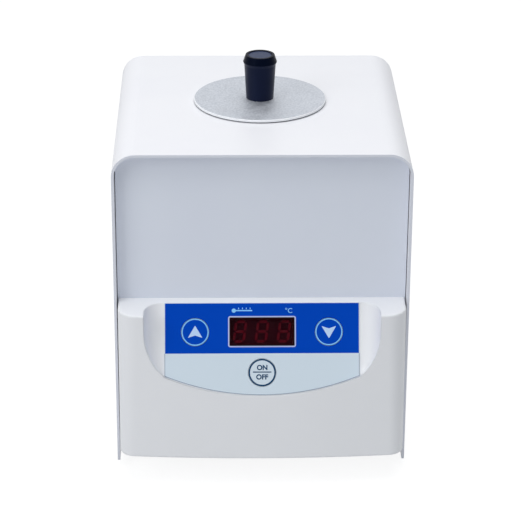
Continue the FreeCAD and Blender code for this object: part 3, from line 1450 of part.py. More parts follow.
# Leads inside the case
def into_terminal(name, height=None, shift=0.0):
    """A lead's last points: down the column beside the board, and into its terminal."""
    x, z = -size("lead_column") - shift, size("entry_z")
    y = size("terminal_y") + TERMINALS[name] * size("terminal_pitch")
    points = [(x, y, z), (size("entry_x") - size("lead_width"), y, z)]
    return points if height is None else [(x, y, height), *points]


lead_x = -size("heater_outer") - size("lead_box") / 2
left_y, right_y = (size("well_y") + sign * size("lead_spread") / 2 for sign in (-1, 1))
heater_z = size("heater_low_z")
jog_z = size("plate_low_z") - size("lead_drop")
column_z = jog_z - size("lead_fall")
node("heater_leads", shaped(
    "heater_runs",
    lead((lead_x, left_y, heater_z), (lead_x, left_y, jog_z), *into_terminal("heater_left", column_z)),
    lead((lead_x, right_y, heater_z), (lead_x, right_y, size("link_top_z"))),
    lead((lead_x, right_y, size("link_low_z")), (lead_x, right_y, jog_z),
         *into_terminal("heater_right", column_z))))
node("thermal_cutout", rod("thermal_link", "Z", (LEAD_X, "well_y + lead_spread / 2"),
                           ("link_low_z", "link_top_z"), "fuse_link_width"))

probe_y = size("well_y") - size("probe_offset")
probe_lift = 2 * size("lead_width")
probe_run = shaped("probe_run", lead(
    (0, probe_y, size("plate_top_z")), (0, probe_y, jog_z + probe_lift),
    *into_terminal("probe", column_z + probe_lift)))
probe_rod = rod("probe_rod", "Z", ("0", "well_y - probe_offset"),
                ("plate_top_z", "block_low_z + probe_grip"), "probe_width")
node("temperature_probe", group("probe", [probe_rod, probe_run]))

tab_y, turn_y = size("tab_y"), size("tab_y") - size("lead_turn")
inlet_x, half_pitch = -size("inlet_offset"), size("pin_pitch") / 2
neutral_x, line_x, pin_z = inlet_x - half_pitch, inlet_x + half_pitch, size("pin_z")
switch_x, switch_y = size("rocker_offset"), size("switch_tab_y")
high_z, low_z = (size("rocker_z") + sign * size("rocker_body_height") / 4 for sign in (1, -1))
step = 2 * size("lead_width")
neutral_end = into_terminal("neutral", shift=step)
switched_end = into_terminal("switched", shift=2 * step)
column_x, neutral_y, entry_z = neutral_end[0]
node("mains_leads", shaped(
    "mains_runs",
    lead((neutral_x, tab_y, pin_z), (neutral_x, turn_y, pin_z), (column_x, neutral_y + 2 * step, low_z),
         *neutral_end),
    lead((line_x, tab_y, pin_z), (line_x, turn_y, pin_z), (switch_x, turn_y, high_z),
         (switch_x, switch_y, high_z)),
    lead((switch_x, switch_y, low_z), (switch_x, turn_y, low_z), (neutral_x, turn_y, low_z - 2 * step),
         (switched_end[0][0], neutral_y + 2 * step, entry_z + step), *switched_end)))

earth_x, earth_y, floor_z = size("earth_x"), size("earth_y"), size("floor_z")
lug_radius, lug_thick = size("large_head") / 2, size("board_thick") / 2
lug_end = (earth_x - lug_radius - size("rocker_pin_gap"), earth_y, floor_z + size("lead_width") / 2)
lug_blank = Part.makeCylinder(lug_radius, lug_thick, Vector(earth_x, earth_y, floor_z))
lug_bore = Part.makeCylinder(hole_radius("large"), lug_thick, Vector(earth_x, earth_y, floor_z))
earth_z = pin_z + size("earth_rise")
node("earth_lead", shaped(
    "earth_run",
    lead((inlet_x, tab_y, earth_z), (inlet_x, earth_y, earth_z), (inlet_x, earth_y, lug_end[2]), lug_end),
    lug_blank.cut(lug_bore)))
node("earth_screw", screw("earth_pan_screw", "Z", ("earth_x", "earth_y"), "floor_z + board_thick / 2", -1,
                          "large", "board_thick / 2 + sheet + large_rise"))

# Every object has to be sound before anything is written
doc.recompute()
for item in doc.Objects:
    if {"Invalid", "Error"} & set(item.State):
        raise ValueError(f"{item.Label} failed: {item.State}")
for label, piece in nodes.items():
    shape = piece.Shape
    if piece.Label != label or shape.isNull() or not shape.isValid() or not shape.Solids:
        raise ValueError(f"{label} has no sound shape")

os.makedirs("parts", exist_ok=True)
for label, piece in nodes.items():
    piece.Shape.exportStep(os.path.join("parts", f"{label}.step"))
print(f"{len(nodes)} sub-parts written")
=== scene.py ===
import json
import math

import bmesh
import bpy
from mathutils import Matrix, Vector


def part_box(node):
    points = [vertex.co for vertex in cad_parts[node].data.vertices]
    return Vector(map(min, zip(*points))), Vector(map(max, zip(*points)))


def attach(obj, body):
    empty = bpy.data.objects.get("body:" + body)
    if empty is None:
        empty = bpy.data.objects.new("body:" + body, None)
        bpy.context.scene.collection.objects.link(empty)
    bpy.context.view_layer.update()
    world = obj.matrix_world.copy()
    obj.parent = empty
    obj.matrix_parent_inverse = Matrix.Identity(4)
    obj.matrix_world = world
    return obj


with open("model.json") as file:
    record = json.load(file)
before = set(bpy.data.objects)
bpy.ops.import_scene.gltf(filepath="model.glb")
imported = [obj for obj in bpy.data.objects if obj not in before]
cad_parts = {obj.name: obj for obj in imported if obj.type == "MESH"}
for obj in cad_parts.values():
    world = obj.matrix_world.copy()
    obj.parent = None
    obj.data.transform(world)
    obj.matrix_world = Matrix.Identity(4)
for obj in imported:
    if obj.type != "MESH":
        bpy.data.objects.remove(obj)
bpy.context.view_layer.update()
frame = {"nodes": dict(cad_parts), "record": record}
nodes = frame["nodes"]
scene = bpy.context.scene
MM = 0.001


# Camera, fitted to the corners of the case in the photograph
EYE = Vector((-24.66, -1218.37, 650.59)) * MM
YAW, PITCH, ROLL = (math.radians(turn) for turn in (1.2167, 24.3045, 0.315))
LENS, SENSOR = 151.57, 36.0


def look():
    """Places the camera and turns it by yaw, pitch and roll."""
    ahead = Vector((math.sin(YAW) * math.cos(PITCH), math.cos(YAW) * math.cos(PITCH), -math.sin(PITCH)))
    side = Vector((math.cos(YAW), -math.sin(YAW), 0.0))
    above = side.cross(ahead)
    right = math.cos(ROLL) * side + math.sin(ROLL) * above
    up = math.cos(ROLL) * above - math.sin(ROLL) * side
    camera = bpy.data.objects.new("camera", bpy.data.cameras.new("camera"))
    camera.data.lens = LENS
    camera.data.sensor_width = SENSOR
    camera.data.sensor_fit = "HORIZONTAL"
    turn = Matrix((right, up, -ahead)).transposed().to_4x4()
    camera.matrix_world = Matrix.Translation(EYE) @ turn
    scene.collection.objects.link(camera)
    scene.camera = camera


look()


# Material helpers: radians in a wave texture's unit, where most of a noise lies, samples of a rounded edge
WAVE_RADIANS = 20
NOISE_LOW, NOISE_HIGH = 0.3, 0.7
EDGE_SAMPLES = 6


def linear(code):
    """An sRGB hex colour as linear RGBA."""
    parts = [int(code[i:i + 2], 16) / 255 for i in (1, 3, 5)]
    return [p / 12.92 if p <= 0.04045 else ((p + 0.055) / 1.055) ** 2.4 for p in parts] + [1.0]


def add(tree, kind, settings=None, links=None):
    """One node, with its settings by property or socket, and its linked sockets."""
    new = tree.nodes.new(kind)
    for name, value in (settings or {}).items():
        if isinstance(name, str) and hasattr(new, name):
            setattr(new, name, value)
        else:
            new.inputs[name].default_value = value
    for name, socket in (links or {}).items():
        tree.links.new(socket, new.inputs[name])
    return new


def per(size):
    """The texture scale that gives features of that size in millimetres."""
    return 1.0 / (size * MM)


def wave_per(pitch):
    """The wave texture's scale that sets lines that far apart in millimetres."""
    return per(pitch) * math.tau / WAVE_RADIANS


def begin(name, colour, rough, metal=0.0, **sockets):
    """A new material: its tree, its shader and the piece's own coordinates in metres."""
    material = bpy.data.materials.new(name)
    material.use_nodes = True
    tree = material.node_tree
    tree.nodes.clear()
    shader = add(tree, "ShaderNodeBsdfPrincipled", {"Base Color": linear(colour), "Roughness": rough,
                                                    "Metallic": metal, **sockets})
    add(tree, "ShaderNodeOutputMaterial", links={"Surface": shader.outputs[0]})
    place = add(tree, "ShaderNodeTexCoord").outputs["Object"]
    return material, tree, shader, place


def mottle(tree, shader, place, low, high, size, detail=3.0):
    """Lets the colour drift between two tones in patches of that size."""
    patch = add(tree, "ShaderNodeTexNoise", {"Scale": per(size), "Detail": detail}, {"Vector": place})
    tone = add(tree, "ShaderNodeMix", {"data_type": "RGBA", 6: linear(low), 7: linear(high)},
               {0: patch.outputs[0]})
    tree.links.new(tone.outputs[2], shader.inputs["Base Color"])
    return tone.outputs[2]


def rub(tree, shader, place, low, high, size):
    """Lets the roughness drift between two values in patches of that size."""
    patch = add(tree, "ShaderNodeTexNoise", {"Scale": per(size), "Detail": 4.0}, {"Vector": place})
    drift = add(tree, "ShaderNodeMapRange", {1: NOISE_LOW, 2: NOISE_HIGH, 3: low, 4: high},
                {0: patch.outputs[0]})
    tree.links.new(drift.outputs[0], shader.inputs["Roughness"])


def relief(tree, shader, height, depth, edge):
    """Raises the surface by a pattern of that depth, over edges rounded by that radius, in millimetres."""
    corner = add(tree, "ShaderNodeBevel", {"samples": EDGE_SAMPLES, "Radius": edge * MM})
    bump = add(tree, "ShaderNodeBump", {"Strength": 1.0, "Distance": depth * MM},
               {"Height": height, "Normal": corner.outputs[0]})
    tree.links.new(bump.outputs[0], shader.inputs["Normal"])


def grain(tree, place, size, detail=2.0, stretch=(1.0, 1.0, 1.0)):
    """A noise of that grain size in millimetres, drawn out along an axis by a stretch under 1."""
    laid = add(tree, "ShaderNodeMapping", {"Scale": stretch}, {"Vector": place})
    return add(tree, "ShaderNodeTexNoise", {"Scale": per(size), "Detail": detail},
               {"Vector": laid.outputs[0]}).outputs[0]


# Gloss of film and ink, of the window and what lies behind it, and of the knob and its cap
FILM_GLOSS = {"Specular IOR Level": 0.04}
DULL = {"Specular IOR Level": 0.05}
SHEEN = {"Specular IOR Level": 0.15, "Specular Tint": linear("#A9BEEA")}

# Case and bezel finishes, with the width of the cover's cut edge in millimetres
CUT_EDGE = 0.25


def white_powder_coat():
    """Powder-coated steel: satin, off-white, softly rippled from baking, and a greyer blue on its front and
    rear cut edges.
    """
    made, tree, shader, place = begin("powder_coated_steel_white", "#F0F0F4", 0.42)
    tone = mottle(tree, shader, place, "#EEEEF3", "#F3F3F6", 45.0)
    low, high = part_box("cover")
    split = add(tree, "ShaderNodeSeparateXYZ", links={0: place})
    sheet = add(tree, "ShaderNodeMath", {"operation": "COMPARE", 1: (low.y + high.y) / 2,
                                         2: (high.y - low.y) / 2 - CUT_EDGE * MM}, {0: split.outputs[1]})
    whole = add(tree, "ShaderNodeMix", {"data_type": "RGBA", 6: linear("#DEE1EA")},
                {0: sheet.outputs[0], 7: tone})
    tree.links.new(whole.outputs[2], shader.inputs["Base Color"])
    rub(tree, shader, place, 0.38, 0.46, 18.0)
    relief(tree, shader, grain(tree, place, 1.6), 0.012, 0.2)
    return made


def grey_powder_coat():
    """Powder-coated steel: the cooler grey of the chassis, a little flatter than the cover."""
    made, tree, shader, place = begin("powder_coated_steel_grey", "#E2E7F2", 0.48)
    mottle(tree, shader, place, "#DFE4F0", "#E5EAF4", 45.0)
    rub(tree, shader, place, 0.44, 0.52, 18.0)
    relief(tree, shader, grain(tree, place, 1.6), 0.012, 0.4)
    return made


def pale_abs():
    """Moulded ABS: pale grey with the fine spark-eroded texture of its mould, drawn about twice as coarse."""
    made, tree, shader, place = begin("moulded_abs_pale", "#EDEEF1", 0.5)
    mottle(tree, shader, place, "#EBECEF", "#EFF0F3", 30.0)
    rub(tree, shader, place, 0.46, 0.54, 12.0)
    relief(tree, shader, grain(tree, place, 0.8), 0.010, 1.2)
    return made


# Sloping keypad frame, with X across, Y up the slope from its upper edge and Z out of the face
SLOPE_EDGE = Vector((0.0, -74.5, 107.9)) * MM
SLOPE_TURN = math.radians(64.65)
SLOPE = Matrix.Translation(SLOPE_EDGE) @ Matrix.Rotation(SLOPE_TURN, 4, "X")
UP_SLOPE = (0.0, math.cos(SLOPE_TURN), math.sin(SLOPE_TURN))

# The film's blue band, in millimetres down the slope and to each side
BLUE_TOP, BLUE_DEPTH, BLUE_HALF = 0.3, 29.1, 55.7
BLUE, PALE = "#0046BC", "#D6E3ED"


def overlay_film():
    """Polyester overlay film, printed on its back: a blue band above, pale grey below and round the band."""
    made, tree, shader, place = begin("printed_polyester_film", BLUE, 0.4, **FILM_GLOSS)
    out = add(tree, "ShaderNodeVectorMath", {"operation": "SUBTRACT", 1: SLOPE_EDGE}, {0: place})
    along = add(tree, "ShaderNodeVectorMath", {"operation": "DOT_PRODUCT", 1: UP_SLOPE}, {0: out.outputs[0]})
    across = add(tree, "ShaderNodeSeparateXYZ", links={0: out.outputs[0]})
    band = add(tree, "ShaderNodeMath", {"operation": "COMPARE", 1: -(BLUE_TOP + BLUE_DEPTH) / 2 * MM,
                                        2: (BLUE_DEPTH - BLUE_TOP) / 2 * MM}, {0: along.outputs[1]})
    middle = add(tree, "ShaderNodeMath", {"operation": "COMPARE", 1: 0.0, 2: BLUE_HALF * MM},
                 {0: across.outputs[0]})
    blue = add(tree, "ShaderNodeMath", {"operation": "MINIMUM"}, {0: band.outputs[0], 1: middle.outputs[0]})
    tone = add(tree, "ShaderNodeMix", {"data_type": "RGBA", 6: linear(PALE), 7: linear(BLUE)},
               {0: blue.outputs[0]})
    tree.links.new(tone.outputs[2], shader.inputs["Base Color"])
    relief(tree, shader, grain(tree, place, 0.5), 0.004, 0.15)
    return made


def key_film(name, colour):
    """The same film over a key, with the faint velvet texture of its face."""
    made, tree, shader, place = begin(name, colour, 0.4, **FILM_GLOSS)
    rub(tree, shader, place, 0.3, 0.38, 6.0)
    relief(tree, shader, grain(tree, place, 0.5), 0.004, 0.15)
    return made


def screen_ink(name, colour):
    """Screen-printing ink: flat and even, with a slightly grainy edge to its gloss."""
    made, tree, shader, place = begin(name, colour, 0.4, **FILM_GLOSS)
    rub(tree, shader, place, 0.36, 0.44, 2.0)
    return made


def smoked_acrylic():
    """Smoked red acrylic: dark, glossy, and clear enough to show the unlit segments behind it."""
    made, tree, shader, place = begin("smoked_red_acrylic", "#16040A", 0.1, Alpha=0.4, **DULL)
    rub(tree, shader, place, 0.08, 0.14, 9.0)
    return made


# Mould textures: patches of tone and of gloss in grains, and how far the gloss drifts
TONE_GRAINS, GLOSS_GRAINS, GLOSS_DRIFT = 14, 9, 0.05


def moulded(name, low, high, rough, size, depth, edge, **sockets):
    """A moulded plastic or rubber: two close tones, a mould texture and rounded edges, in millimetres."""
    made, tree, shader, place = begin(name, high, rough, **sockets)
    mottle(tree, shader, place, low, high, size * TONE_GRAINS)
    rub(tree, shader, place, rough - GLOSS_DRIFT, rough + GLOSS_DRIFT, size * GLOSS_GRAINS)
    relief(tree, shader, grain(tree, place, size), depth, edge)
    return made


# The knob's collar: its height in millimetres, and the gloss of the grip and of the collar
COLLAR, GRIP_SHINE, COLLAR_SHINE = 4.2, 0.18, 0.06


def blue_black_phenolic():
    """Moulded phenolic: blue black, satin on the grip and darker on the collar above it."""
    made, tree, shader, place = begin("moulded_phenolic_blue_black", "#0F142C", 0.36, **SHEEN)
    grip = mottle(tree, shader, place, "#0B1025", "#0F142C", 8.0)
    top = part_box("lid_knob")[1].z
    height = add(tree, "ShaderNodeSeparateXYZ", links={0: place})
    collar = add(tree, "ShaderNodeMath", {"operation": "GREATER_THAN", 1: top - COLLAR * MM},
                 {0: height.outputs[2]})
    tone = add(tree, "ShaderNodeMix", {"data_type": "RGBA", 7: linear("#020616")},
               {0: collar.outputs[0], 6: grip})
    tree.links.new(tone.outputs[2], shader.inputs["Base Color"])
    shine = add(tree, "ShaderNodeMapRange", {3: GRIP_SHINE, 4: COLLAR_SHINE}, {0: collar.outputs[0]})
    tree.links.new(shine.outputs[0], shader.inputs["Specular IOR Level"])
    rub(tree, shader, place, 0.3, 0.4, 5.4)
    relief(tree, shader, grain(tree, place, 0.6), 0.01, 0.5)
    return made


# Metal finishes: the width of the lid's rim band of painted highlight and the height of the rim's foot of
# painted shadow in millimetres, and where noise turns to specks
RIM_HIGHLIGHT, RIM_SHADOW_FOOT = 0.4, 0.7
SPECK_LOW, SPECK_HIGH = 0.36, 0.64


def blasted_aluminium():
    """Bead-blasted aluminium: silver grey, a coarsened sparkle, a painted highlight of dull white on the rim
    and a painted shadow at its foot.
    """
    made, tree, shader, place = begin("bead_blasted_aluminium", "#C9CCD2", 0.58, 1.0)
    speck = grain(tree, place, 1.1, 4.0)
    sharp = add(tree, "ShaderNodeMapRange", {1: SPECK_LOW, 2: SPECK_HIGH}, {0: speck})
    tone = add(tree, "ShaderNodeMix", {"data_type": "RGBA", 6: linear("#B3B8C0"), 7: linear("#C7CBD2")},
               {0: sharp.outputs[0]})
    low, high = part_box("lid_plate")
    axis = [(low.x + high.x) / 2, (low.y + high.y) / 2, 0.0]
    laid = add(tree, "ShaderNodeVectorMath", {"operation": "SUBTRACT", 1: axis}, {0: place})
    flat = add(tree, "ShaderNodeVectorMath", {"operation": "MULTIPLY", 1: (1.0, 1.0, 0.0)},
               {0: laid.outputs[0]})
    far = add(tree, "ShaderNodeVectorMath", {"operation": "LENGTH"}, {0: flat.outputs[0]})
    # The lid's outer band, painted white and not metal as a painted highlight on its rim
    rim = add(tree, "ShaderNodeMath", {"operation": "GREATER_THAN", 1: (high.x - low.x) / 2 - RIM_HIGHLIGHT * MM},
              {0: far.outputs[1]})
    height = add(tree, "ShaderNodeSeparateXYZ", links={0: place})
    # The rim's lowest part, painted dark as a painted shadow line under the lid
    foot = add(tree, "ShaderNodeMath", {"operation": "LESS_THAN", 1: low.z + RIM_SHADOW_FOOT * MM},
               {0: height.outputs[2]})
    edge = add(tree, "ShaderNodeMix", {"data_type": "RGBA", 6: linear("#F2F4F7"), 7: linear("#4C5057")},
               {0: foot.outputs[0]})
    whole = add(tree, "ShaderNodeMix", {"data_type": "RGBA"},
                {0: rim.outputs[0], 6: tone.outputs[2], 7: edge.outputs[2]})
    tree.links.new(whole.outputs[2], shader.inputs["Base Color"])
    bare = add(tree, "ShaderNodeMath", {"operation": "SUBTRACT", 0: 1.0}, {1: rim.outputs[0]})
    tree.links.new(bare.outputs[0], shader.inputs["Metallic"])
    rub(tree, shader, place, 0.5, 0.62, 7.0)
    relief(tree, shader, speck, 0.02, 0.3)
    return made


def machined_aluminium():
    """Turned aluminium: bright, with the fine rings that the tool leaves about the block's axis."""
    made, tree, shader, place = begin("turned_aluminium", "#C4C6CA", 0.3, 1.0)
    low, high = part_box("tube_block")
    axis = [(low.x + high.x) / 2, (low.y + high.y) / 2, 0.0]
    laid = add(tree, "ShaderNodeVectorMath", {"operation": "SUBTRACT", 1: axis}, {0: place})
    rings = add(tree, "ShaderNodeTexWave", {"wave_type": "RINGS", "rings_direction": "Z",
                                            "Scale": wave_per(0.6), "Distortion": 0.4},
                {"Vector": laid.outputs[0]})
    mottle(tree, shader, place, "#BDBFC4", "#CACCD0", 12.0)
    rub(tree, shader, place, 0.26, 0.36, 8.0)
    relief(tree, shader, rings.outputs[1], 0.006, 0.3)
    return made


def plated_steel(name, low, high, rough):
    """Zinc-plated steel: grey, faintly clouded, with fine drawing marks."""
    made, tree, shader, place = begin(name, high, rough, 1.0)
    mottle(tree, shader, place, low, high, 6.0)
    rub(tree, shader, place, rough - 0.06, rough + 0.08, 4.0)
    relief(tree, shader, grain(tree, place, 0.3, 2.0, (1.0, 1.0, 0.15)), 0.004, 0.15)
    return made


def nickelled_brass():
    """Nickel-plated brass: warm silver, smooth, with faint wiping marks along the blades."""
    made, tree, shader, place = begin("nickel_plated_brass", "#C9BE9C", 0.28, 1.0)
    mottle(tree, shader, place, "#BFB38E", "#D2C8A8", 5.0)
    relief(tree, shader, grain(tree, place, 0.25, 2.0, (1.0, 0.1, 1.0)), 0.003, 0.15)
    return made


# Inner finishes, with half the depth of the transformer's core in millimetres
CORE_HALF = 12.2


def solder_mask():
    """Glass-epoxy laminate under green solder mask, with the weave just showing."""
    made, tree, shader, place = begin("green_solder_mask", "#17603A", 0.35)
    mottle(tree, shader, place, "#125432", "#1C6C42", 9.0)
    weave = add(tree, "ShaderNodeTexChecker", {"Scale": per(1.2)}, {"Vector": place})
    relief(tree, shader, weave.outputs[1], 0.01, 0.1)
    return made


def ceramic_fibre():
    """Vacuum-formed ceramic fibre: off-white, dry and matted, with short fibres lying every way."""
    made, tree, shader, place = begin("vacuum_formed_ceramic_fibre", "#E6E1D3", 0.95)
    mottle(tree, shader, place, "#D9D3C3", "#EFEBDF", 4.0, 6.0)
    relief(tree, shader, grain(tree, place, 0.9, 8.0), 0.25, 0.8)
    return made


def laminated_steel():
    """Varnished transformer core: dark stacked sheets, with taped windings standing out at both ends."""
    made, tree, shader, place = begin("varnished_core_laminations", "#2C2A2B", 0.5, 0.3)
    low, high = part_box("transformer")
    split = add(tree, "ShaderNodeSeparateXYZ", links={0: place})
    inside = add(tree, "ShaderNodeMath", {"operation": "COMPARE", 1: (low.y + high.y) / 2, 2: CORE_HALF * MM},
                 {0: split.outputs[1]})
    tone = add(tree, "ShaderNodeMix", {"data_type": "RGBA", 6: linear("#C9A23A"), 7: linear("#2C2A2B")},
               {0: inside.outputs[0]})
    tree.links.new(tone.outputs[2], shader.inputs["Base Color"])
    sheets = add(tree, "ShaderNodeTexWave", {"wave_type": "BANDS", "bands_direction": "Y",
                                             "Scale": wave_per(1.0)}, {"Vector": place})
    relief(tree, shader, sheets.outputs[1], 0.08, 0.3)
    return made


def glass_braid():
    """Glass-braid sleeving: a pale woven tube, its braid drawn twice as coarse so that it shows."""
    made, tree, shader, place = begin("glass_braid_sleeving", "#DDD8C8", 0.85)
    weave = add(tree, "ShaderNodeTexChecker", {"Scale": per(0.8), 1: linear("#E8E4D6"), 2: linear("#CBC5B2")},
                {"Vector": place})
    tree.links.new(weave.outputs[0], shader.inputs["Base Color"])
    relief(tree, shader, weave.outputs[1], 0.1, 0.1)
    return made


def flat_cable():
    """Grey ribbon cable: parallel cores, 1.27 mm apart, under one soft skin, with painted shade in the
    grooves between them.
    """
    made, tree, shader, place = begin("grey_ribbon_cable", "#BDBEC2", 0.45)
    cores = add(tree, "ShaderNodeTexWave", {"wave_type": "BANDS", "bands_direction": "X",
                                            "Scale": wave_per(1.27)}, {"Vector": place})
    # Painted shade: the tone darkens into the grooves between the cores
    tone = add(tree, "ShaderNodeMix", {"data_type": "RGBA", 6: linear("#8F9196"), 7: linear("#C6C7CB")},
               {0: cores.outputs[1]})
    tree.links.new(tone.outputs[2], shader.inputs["Base Color"])
    relief(tree, shader, cores.outputs[1], 0.2, 0.1)
    return made


def clear_glass():
    """Drawn glass tube: clear, with a faint green edge."""
    made, tree, shader, place = begin("drawn_glass", "#E6F0EE", 0.05, IOR=1.5, Alpha=0.45)
    rub(tree, shader, place, 0.03, 0.08, 4.0)
    return made


# One finish for each of the record's slots
BLACK = ("#141416", "#1C1C1F")
SLOTS = {
    "cover_paint": white_powder_coat(),
    "panel_paint": grey_powder_coat(),
    "bezel_plastic": pale_abs(),
    "overlay_film": overlay_film(),
    "key_film": key_film("printed_film_blue_key", BLUE),
    "key_pale_film": key_film("printed_film_pale_key", PALE),
    "lens_acrylic": smoked_acrylic(),
    "segment_plastic": moulded("diffused_red_epoxy", "#B81E36", "#C8243E", 0.5, 0.4, 0.004, 0.05, **DULL),
    "module_plastic": moulded("red_tinted_potted_epoxy", "#580E1F", "#620F23", 0.6, 0.4, 0.004, 0.1, **DULL),
    "board_laminate": solder_mask(),
    "black_plastic": moulded("moulded_nylon_black", *BLACK, 0.42, 0.5, 0.012, 0.35),
    "knob_plastic": blue_black_phenolic(),
    "cap_plastic": moulded("moulded_cap_blue_black", "#2B3550", "#343E5A", 0.4, 0.6, 0.006, 0.3, **SHEEN),
    "lid_aluminium": blasted_aluminium(),
    "block_aluminium": machined_aluminium(),
    "collar_plastic": moulded("moulded_ptfe_cream", "#E2DFD4", "#EAE7DD", 0.5, 0.8, 0.01, 0.5),
    "steel": plated_steel("zinc_plated_steel", "#A9ACB0", "#C3C6C9", 0.32),
    "heater_steel": plated_steel("oxidised_heater_steel", "#86807A", "#A49D95", 0.42),
    "mineral_wool": ceramic_fibre(),
    "foot_rubber": moulded("moulded_rubber_black", "#17181A", "#202123", 0.7, 0.7, 0.03, 0.6),
    "core_steel": laminated_steel(),
    "terminal_plastic": moulded("moulded_nylon_green", "#1C6B36", "#237B40", 0.42, 0.5, 0.01, 0.2),
    "capacitor_sleeve": moulded("shrunk_pvc_sleeve", "#161C33", "#1D2542", 0.3, 0.9, 0.006, 0.4),
    "lead_plastic": moulded("pvc_insulation_brown", "#5B3519", "#6B4121", 0.42, 0.6, 0.01, 0.1),
    "earth_plastic": moulded("pvc_insulation_green", "#4E8A22", "#7FA02A", 0.42, 0.6, 0.01, 0.1),
    "lead_braid": glass_braid(),
    "ribbon_plastic": flat_cable(),
    "contact_brass": nickelled_brass(),
    "cartridge_glass": clear_glass(),
    "thermal_ceramic": moulded("glazed_ceramic", "#E4E0D4", "#EDEAE0", 0.25, 1.2, 0.004, 0.3),
}


def dress(node, material):
    """Gives a CAD node its one material."""
    nodes[node].data.materials.clear()
    nodes[node].data.materials.append(material)


for row in frame["record"]["subparts"]:
    dress(row["node"], SLOTS[row["material_slot"]])


# Printed marks: ink thickness in millimetres, stroke widening, how far a rocker face looks out, corner steps
INK = 0.05
BOLD, BOLDER = 0.012, 0.034
OUTWARD = 0.7
RING_STEPS, PATCH_STEPS, WINDOW_STEPS = 72, 5, 8
LIGHT_INK = screen_ink("screen_ink_light_blue", "#C2DBFC")
RING_INK = screen_ink("screen_ink_ring_blue", "#8FD0FF")
TEAL_INK = screen_ink("screen_ink_teal", "#003E66")
FRAME_INK = screen_ink("screen_ink_frame_white", "#BCC6EA")
BORDER_INK = screen_ink("screen_ink_dark_red", "#1E070D")


def slope_spots(node):
    """A node's vertices in the slope's frame, in millimetres."""
    out = SLOPE.inverted()
    return [[part / MM for part in out @ corner.co] for corner in nodes[node].data.vertices]


def face_top(node):
    """How far the node stands out of the slope."""
    return max(out for _, _, out in slope_spots(node))


def middle_of(node):
    """The middle of a node's face on the slope."""
    across, along, _ = zip(*slope_spots(node))
    return (min(across) + max(across)) / 2, (min(along) + max(along)) / 2


def film_reach():
    """Half the film's width, and how far its foot lies down the slope."""
    across, along, _ = zip(*slope_spots("keypad_overlay"))
    return max(across), -min(along)


def rocker_face(end):
    """The frame of the rocker's upper or lower face, with Z out of the face."""
    low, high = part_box("switch_rocker")
    middle = (low + high) / 2
    mesh = nodes["switch_rocker"].data
    faces = [f for f in mesh.polygons if f.normal.y > OUTWARD and (f.center.z - middle.z) * end > 0]
    area = sum(f.area for f in faces)
    centre = sum((f.center * f.area for f in faces), Vector()) / area
    out = sum((f.normal * f.area for f in faces), Vector()).normalized()
    across = Vector((-1.0, 0.0, 0.0))
    turn = Matrix((across, out.cross(across), out)).transposed().to_4x4()
    return Matrix.Translation(centre) @ turn


def mark(name, shape, ink, body="case", place=SLOPE):
    """Turns a shape in millimetres into a piece that rides on a body."""
    bmesh.ops.recalc_face_normals(shape, faces=shape.faces)
    bmesh.ops.transform(shape, matrix=place @ Matrix.Scale(MM, 4), verts=shape.verts)
    mesh = bpy.data.meshes.new(name)
    shape.to_mesh(mesh)
    shape.free()
    mesh.materials.append(ink)
    made = bpy.data.objects.new(name, mesh)
    scene.collection.objects.link(made)
    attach(made, body)


def thicken(shape, height):
    """Gives flat faces a thickness."""
    grown = bmesh.ops.extrude_face_region(shape, geom=shape.faces[:])
    tops = [part for part in grown["geom"] if isinstance(part, bmesh.types.BMVert)]
    bmesh.ops.translate(shape, vec=(0.0, 0.0, height), verts=tops)


def ring_shape(centre, outer, inner, low, start=0.0, sweep=math.tau):
    """A flat printed ring, or an arc of one."""
    shape = bmesh.new()
    section = [(outer, low), (outer, low + INK), (inner, low + INK), (inner, low)]
    corners = [shape.verts.new((centre[0] + r * math.cos(start), centre[1] + r * math.sin(start), z))
               for r, z in section]
    edges = [shape.edges.new((corners[i], corners[i - 1])) for i in range(len(corners))]
    whole = sweep == math.tau
    bmesh.ops.spin(shape, geom=corners + edges, cent=(*centre, low), axis=(0.0, 0.0, 1.0), angle=sweep,
                   steps=RING_STEPS, use_merge=whole, use_duplicate=False)
    if not whole:
        bmesh.ops.holes_fill(shape, edges=shape.edges, sides=len(section))
    return shape


def disc_shape(centre, radius, low):
    """A flat printed disc."""
    shape = bmesh.new()
    bmesh.ops.create_circle(shape, cap_ends=True, segments=RING_STEPS, radius=radius,
                            matrix=Matrix.Translation((*centre, low)))
    thicken(shape, INK)
    return shape


def flat_shape(points, low, soft=0.0):
    """A flat printed patch with softened corners."""
    shape = bmesh.new()
    shape.faces.new([shape.verts.new((x, y, low)) for x, y in points])
    if soft:
        bmesh.ops.bevel(shape, geom=shape.verts[:], offset=soft, segments=PATCH_STEPS, profile=0.5,
                        affect="VERTICES", material=-1)
    thicken(shape, INK)
    return shape


def bar_points(left, right, low, high):
    """The corners of a rectangle, in order round it."""
    return [(left, low), (right, low), (right, high), (left, high)]


def window_ring(half_wide, half_tall, line, soft, low):
    """A printed line with rounded corners round the window."""
    x, y = middle_of("display_lens")
    shape = bmesh.new()
    corners = bar_points(x - half_wide, x + half_wide, y - half_tall, y + half_tall)
    shape.faces.new([shape.verts.new((*corner, low)) for corner in corners])
    bmesh.ops.bevel(shape, geom=shape.verts[:], offset=soft, segments=WINDOW_STEPS, profile=0.5,
                    affect="VERTICES", material=-1)
    inner = shape.faces[:]
    bmesh.ops.inset_individual(shape, faces=inner, thickness=line, use_even_offset=True)
    bmesh.ops.delete(shape, geom=inner, context="FACES")
    thicken(shape, INK)
    return shape


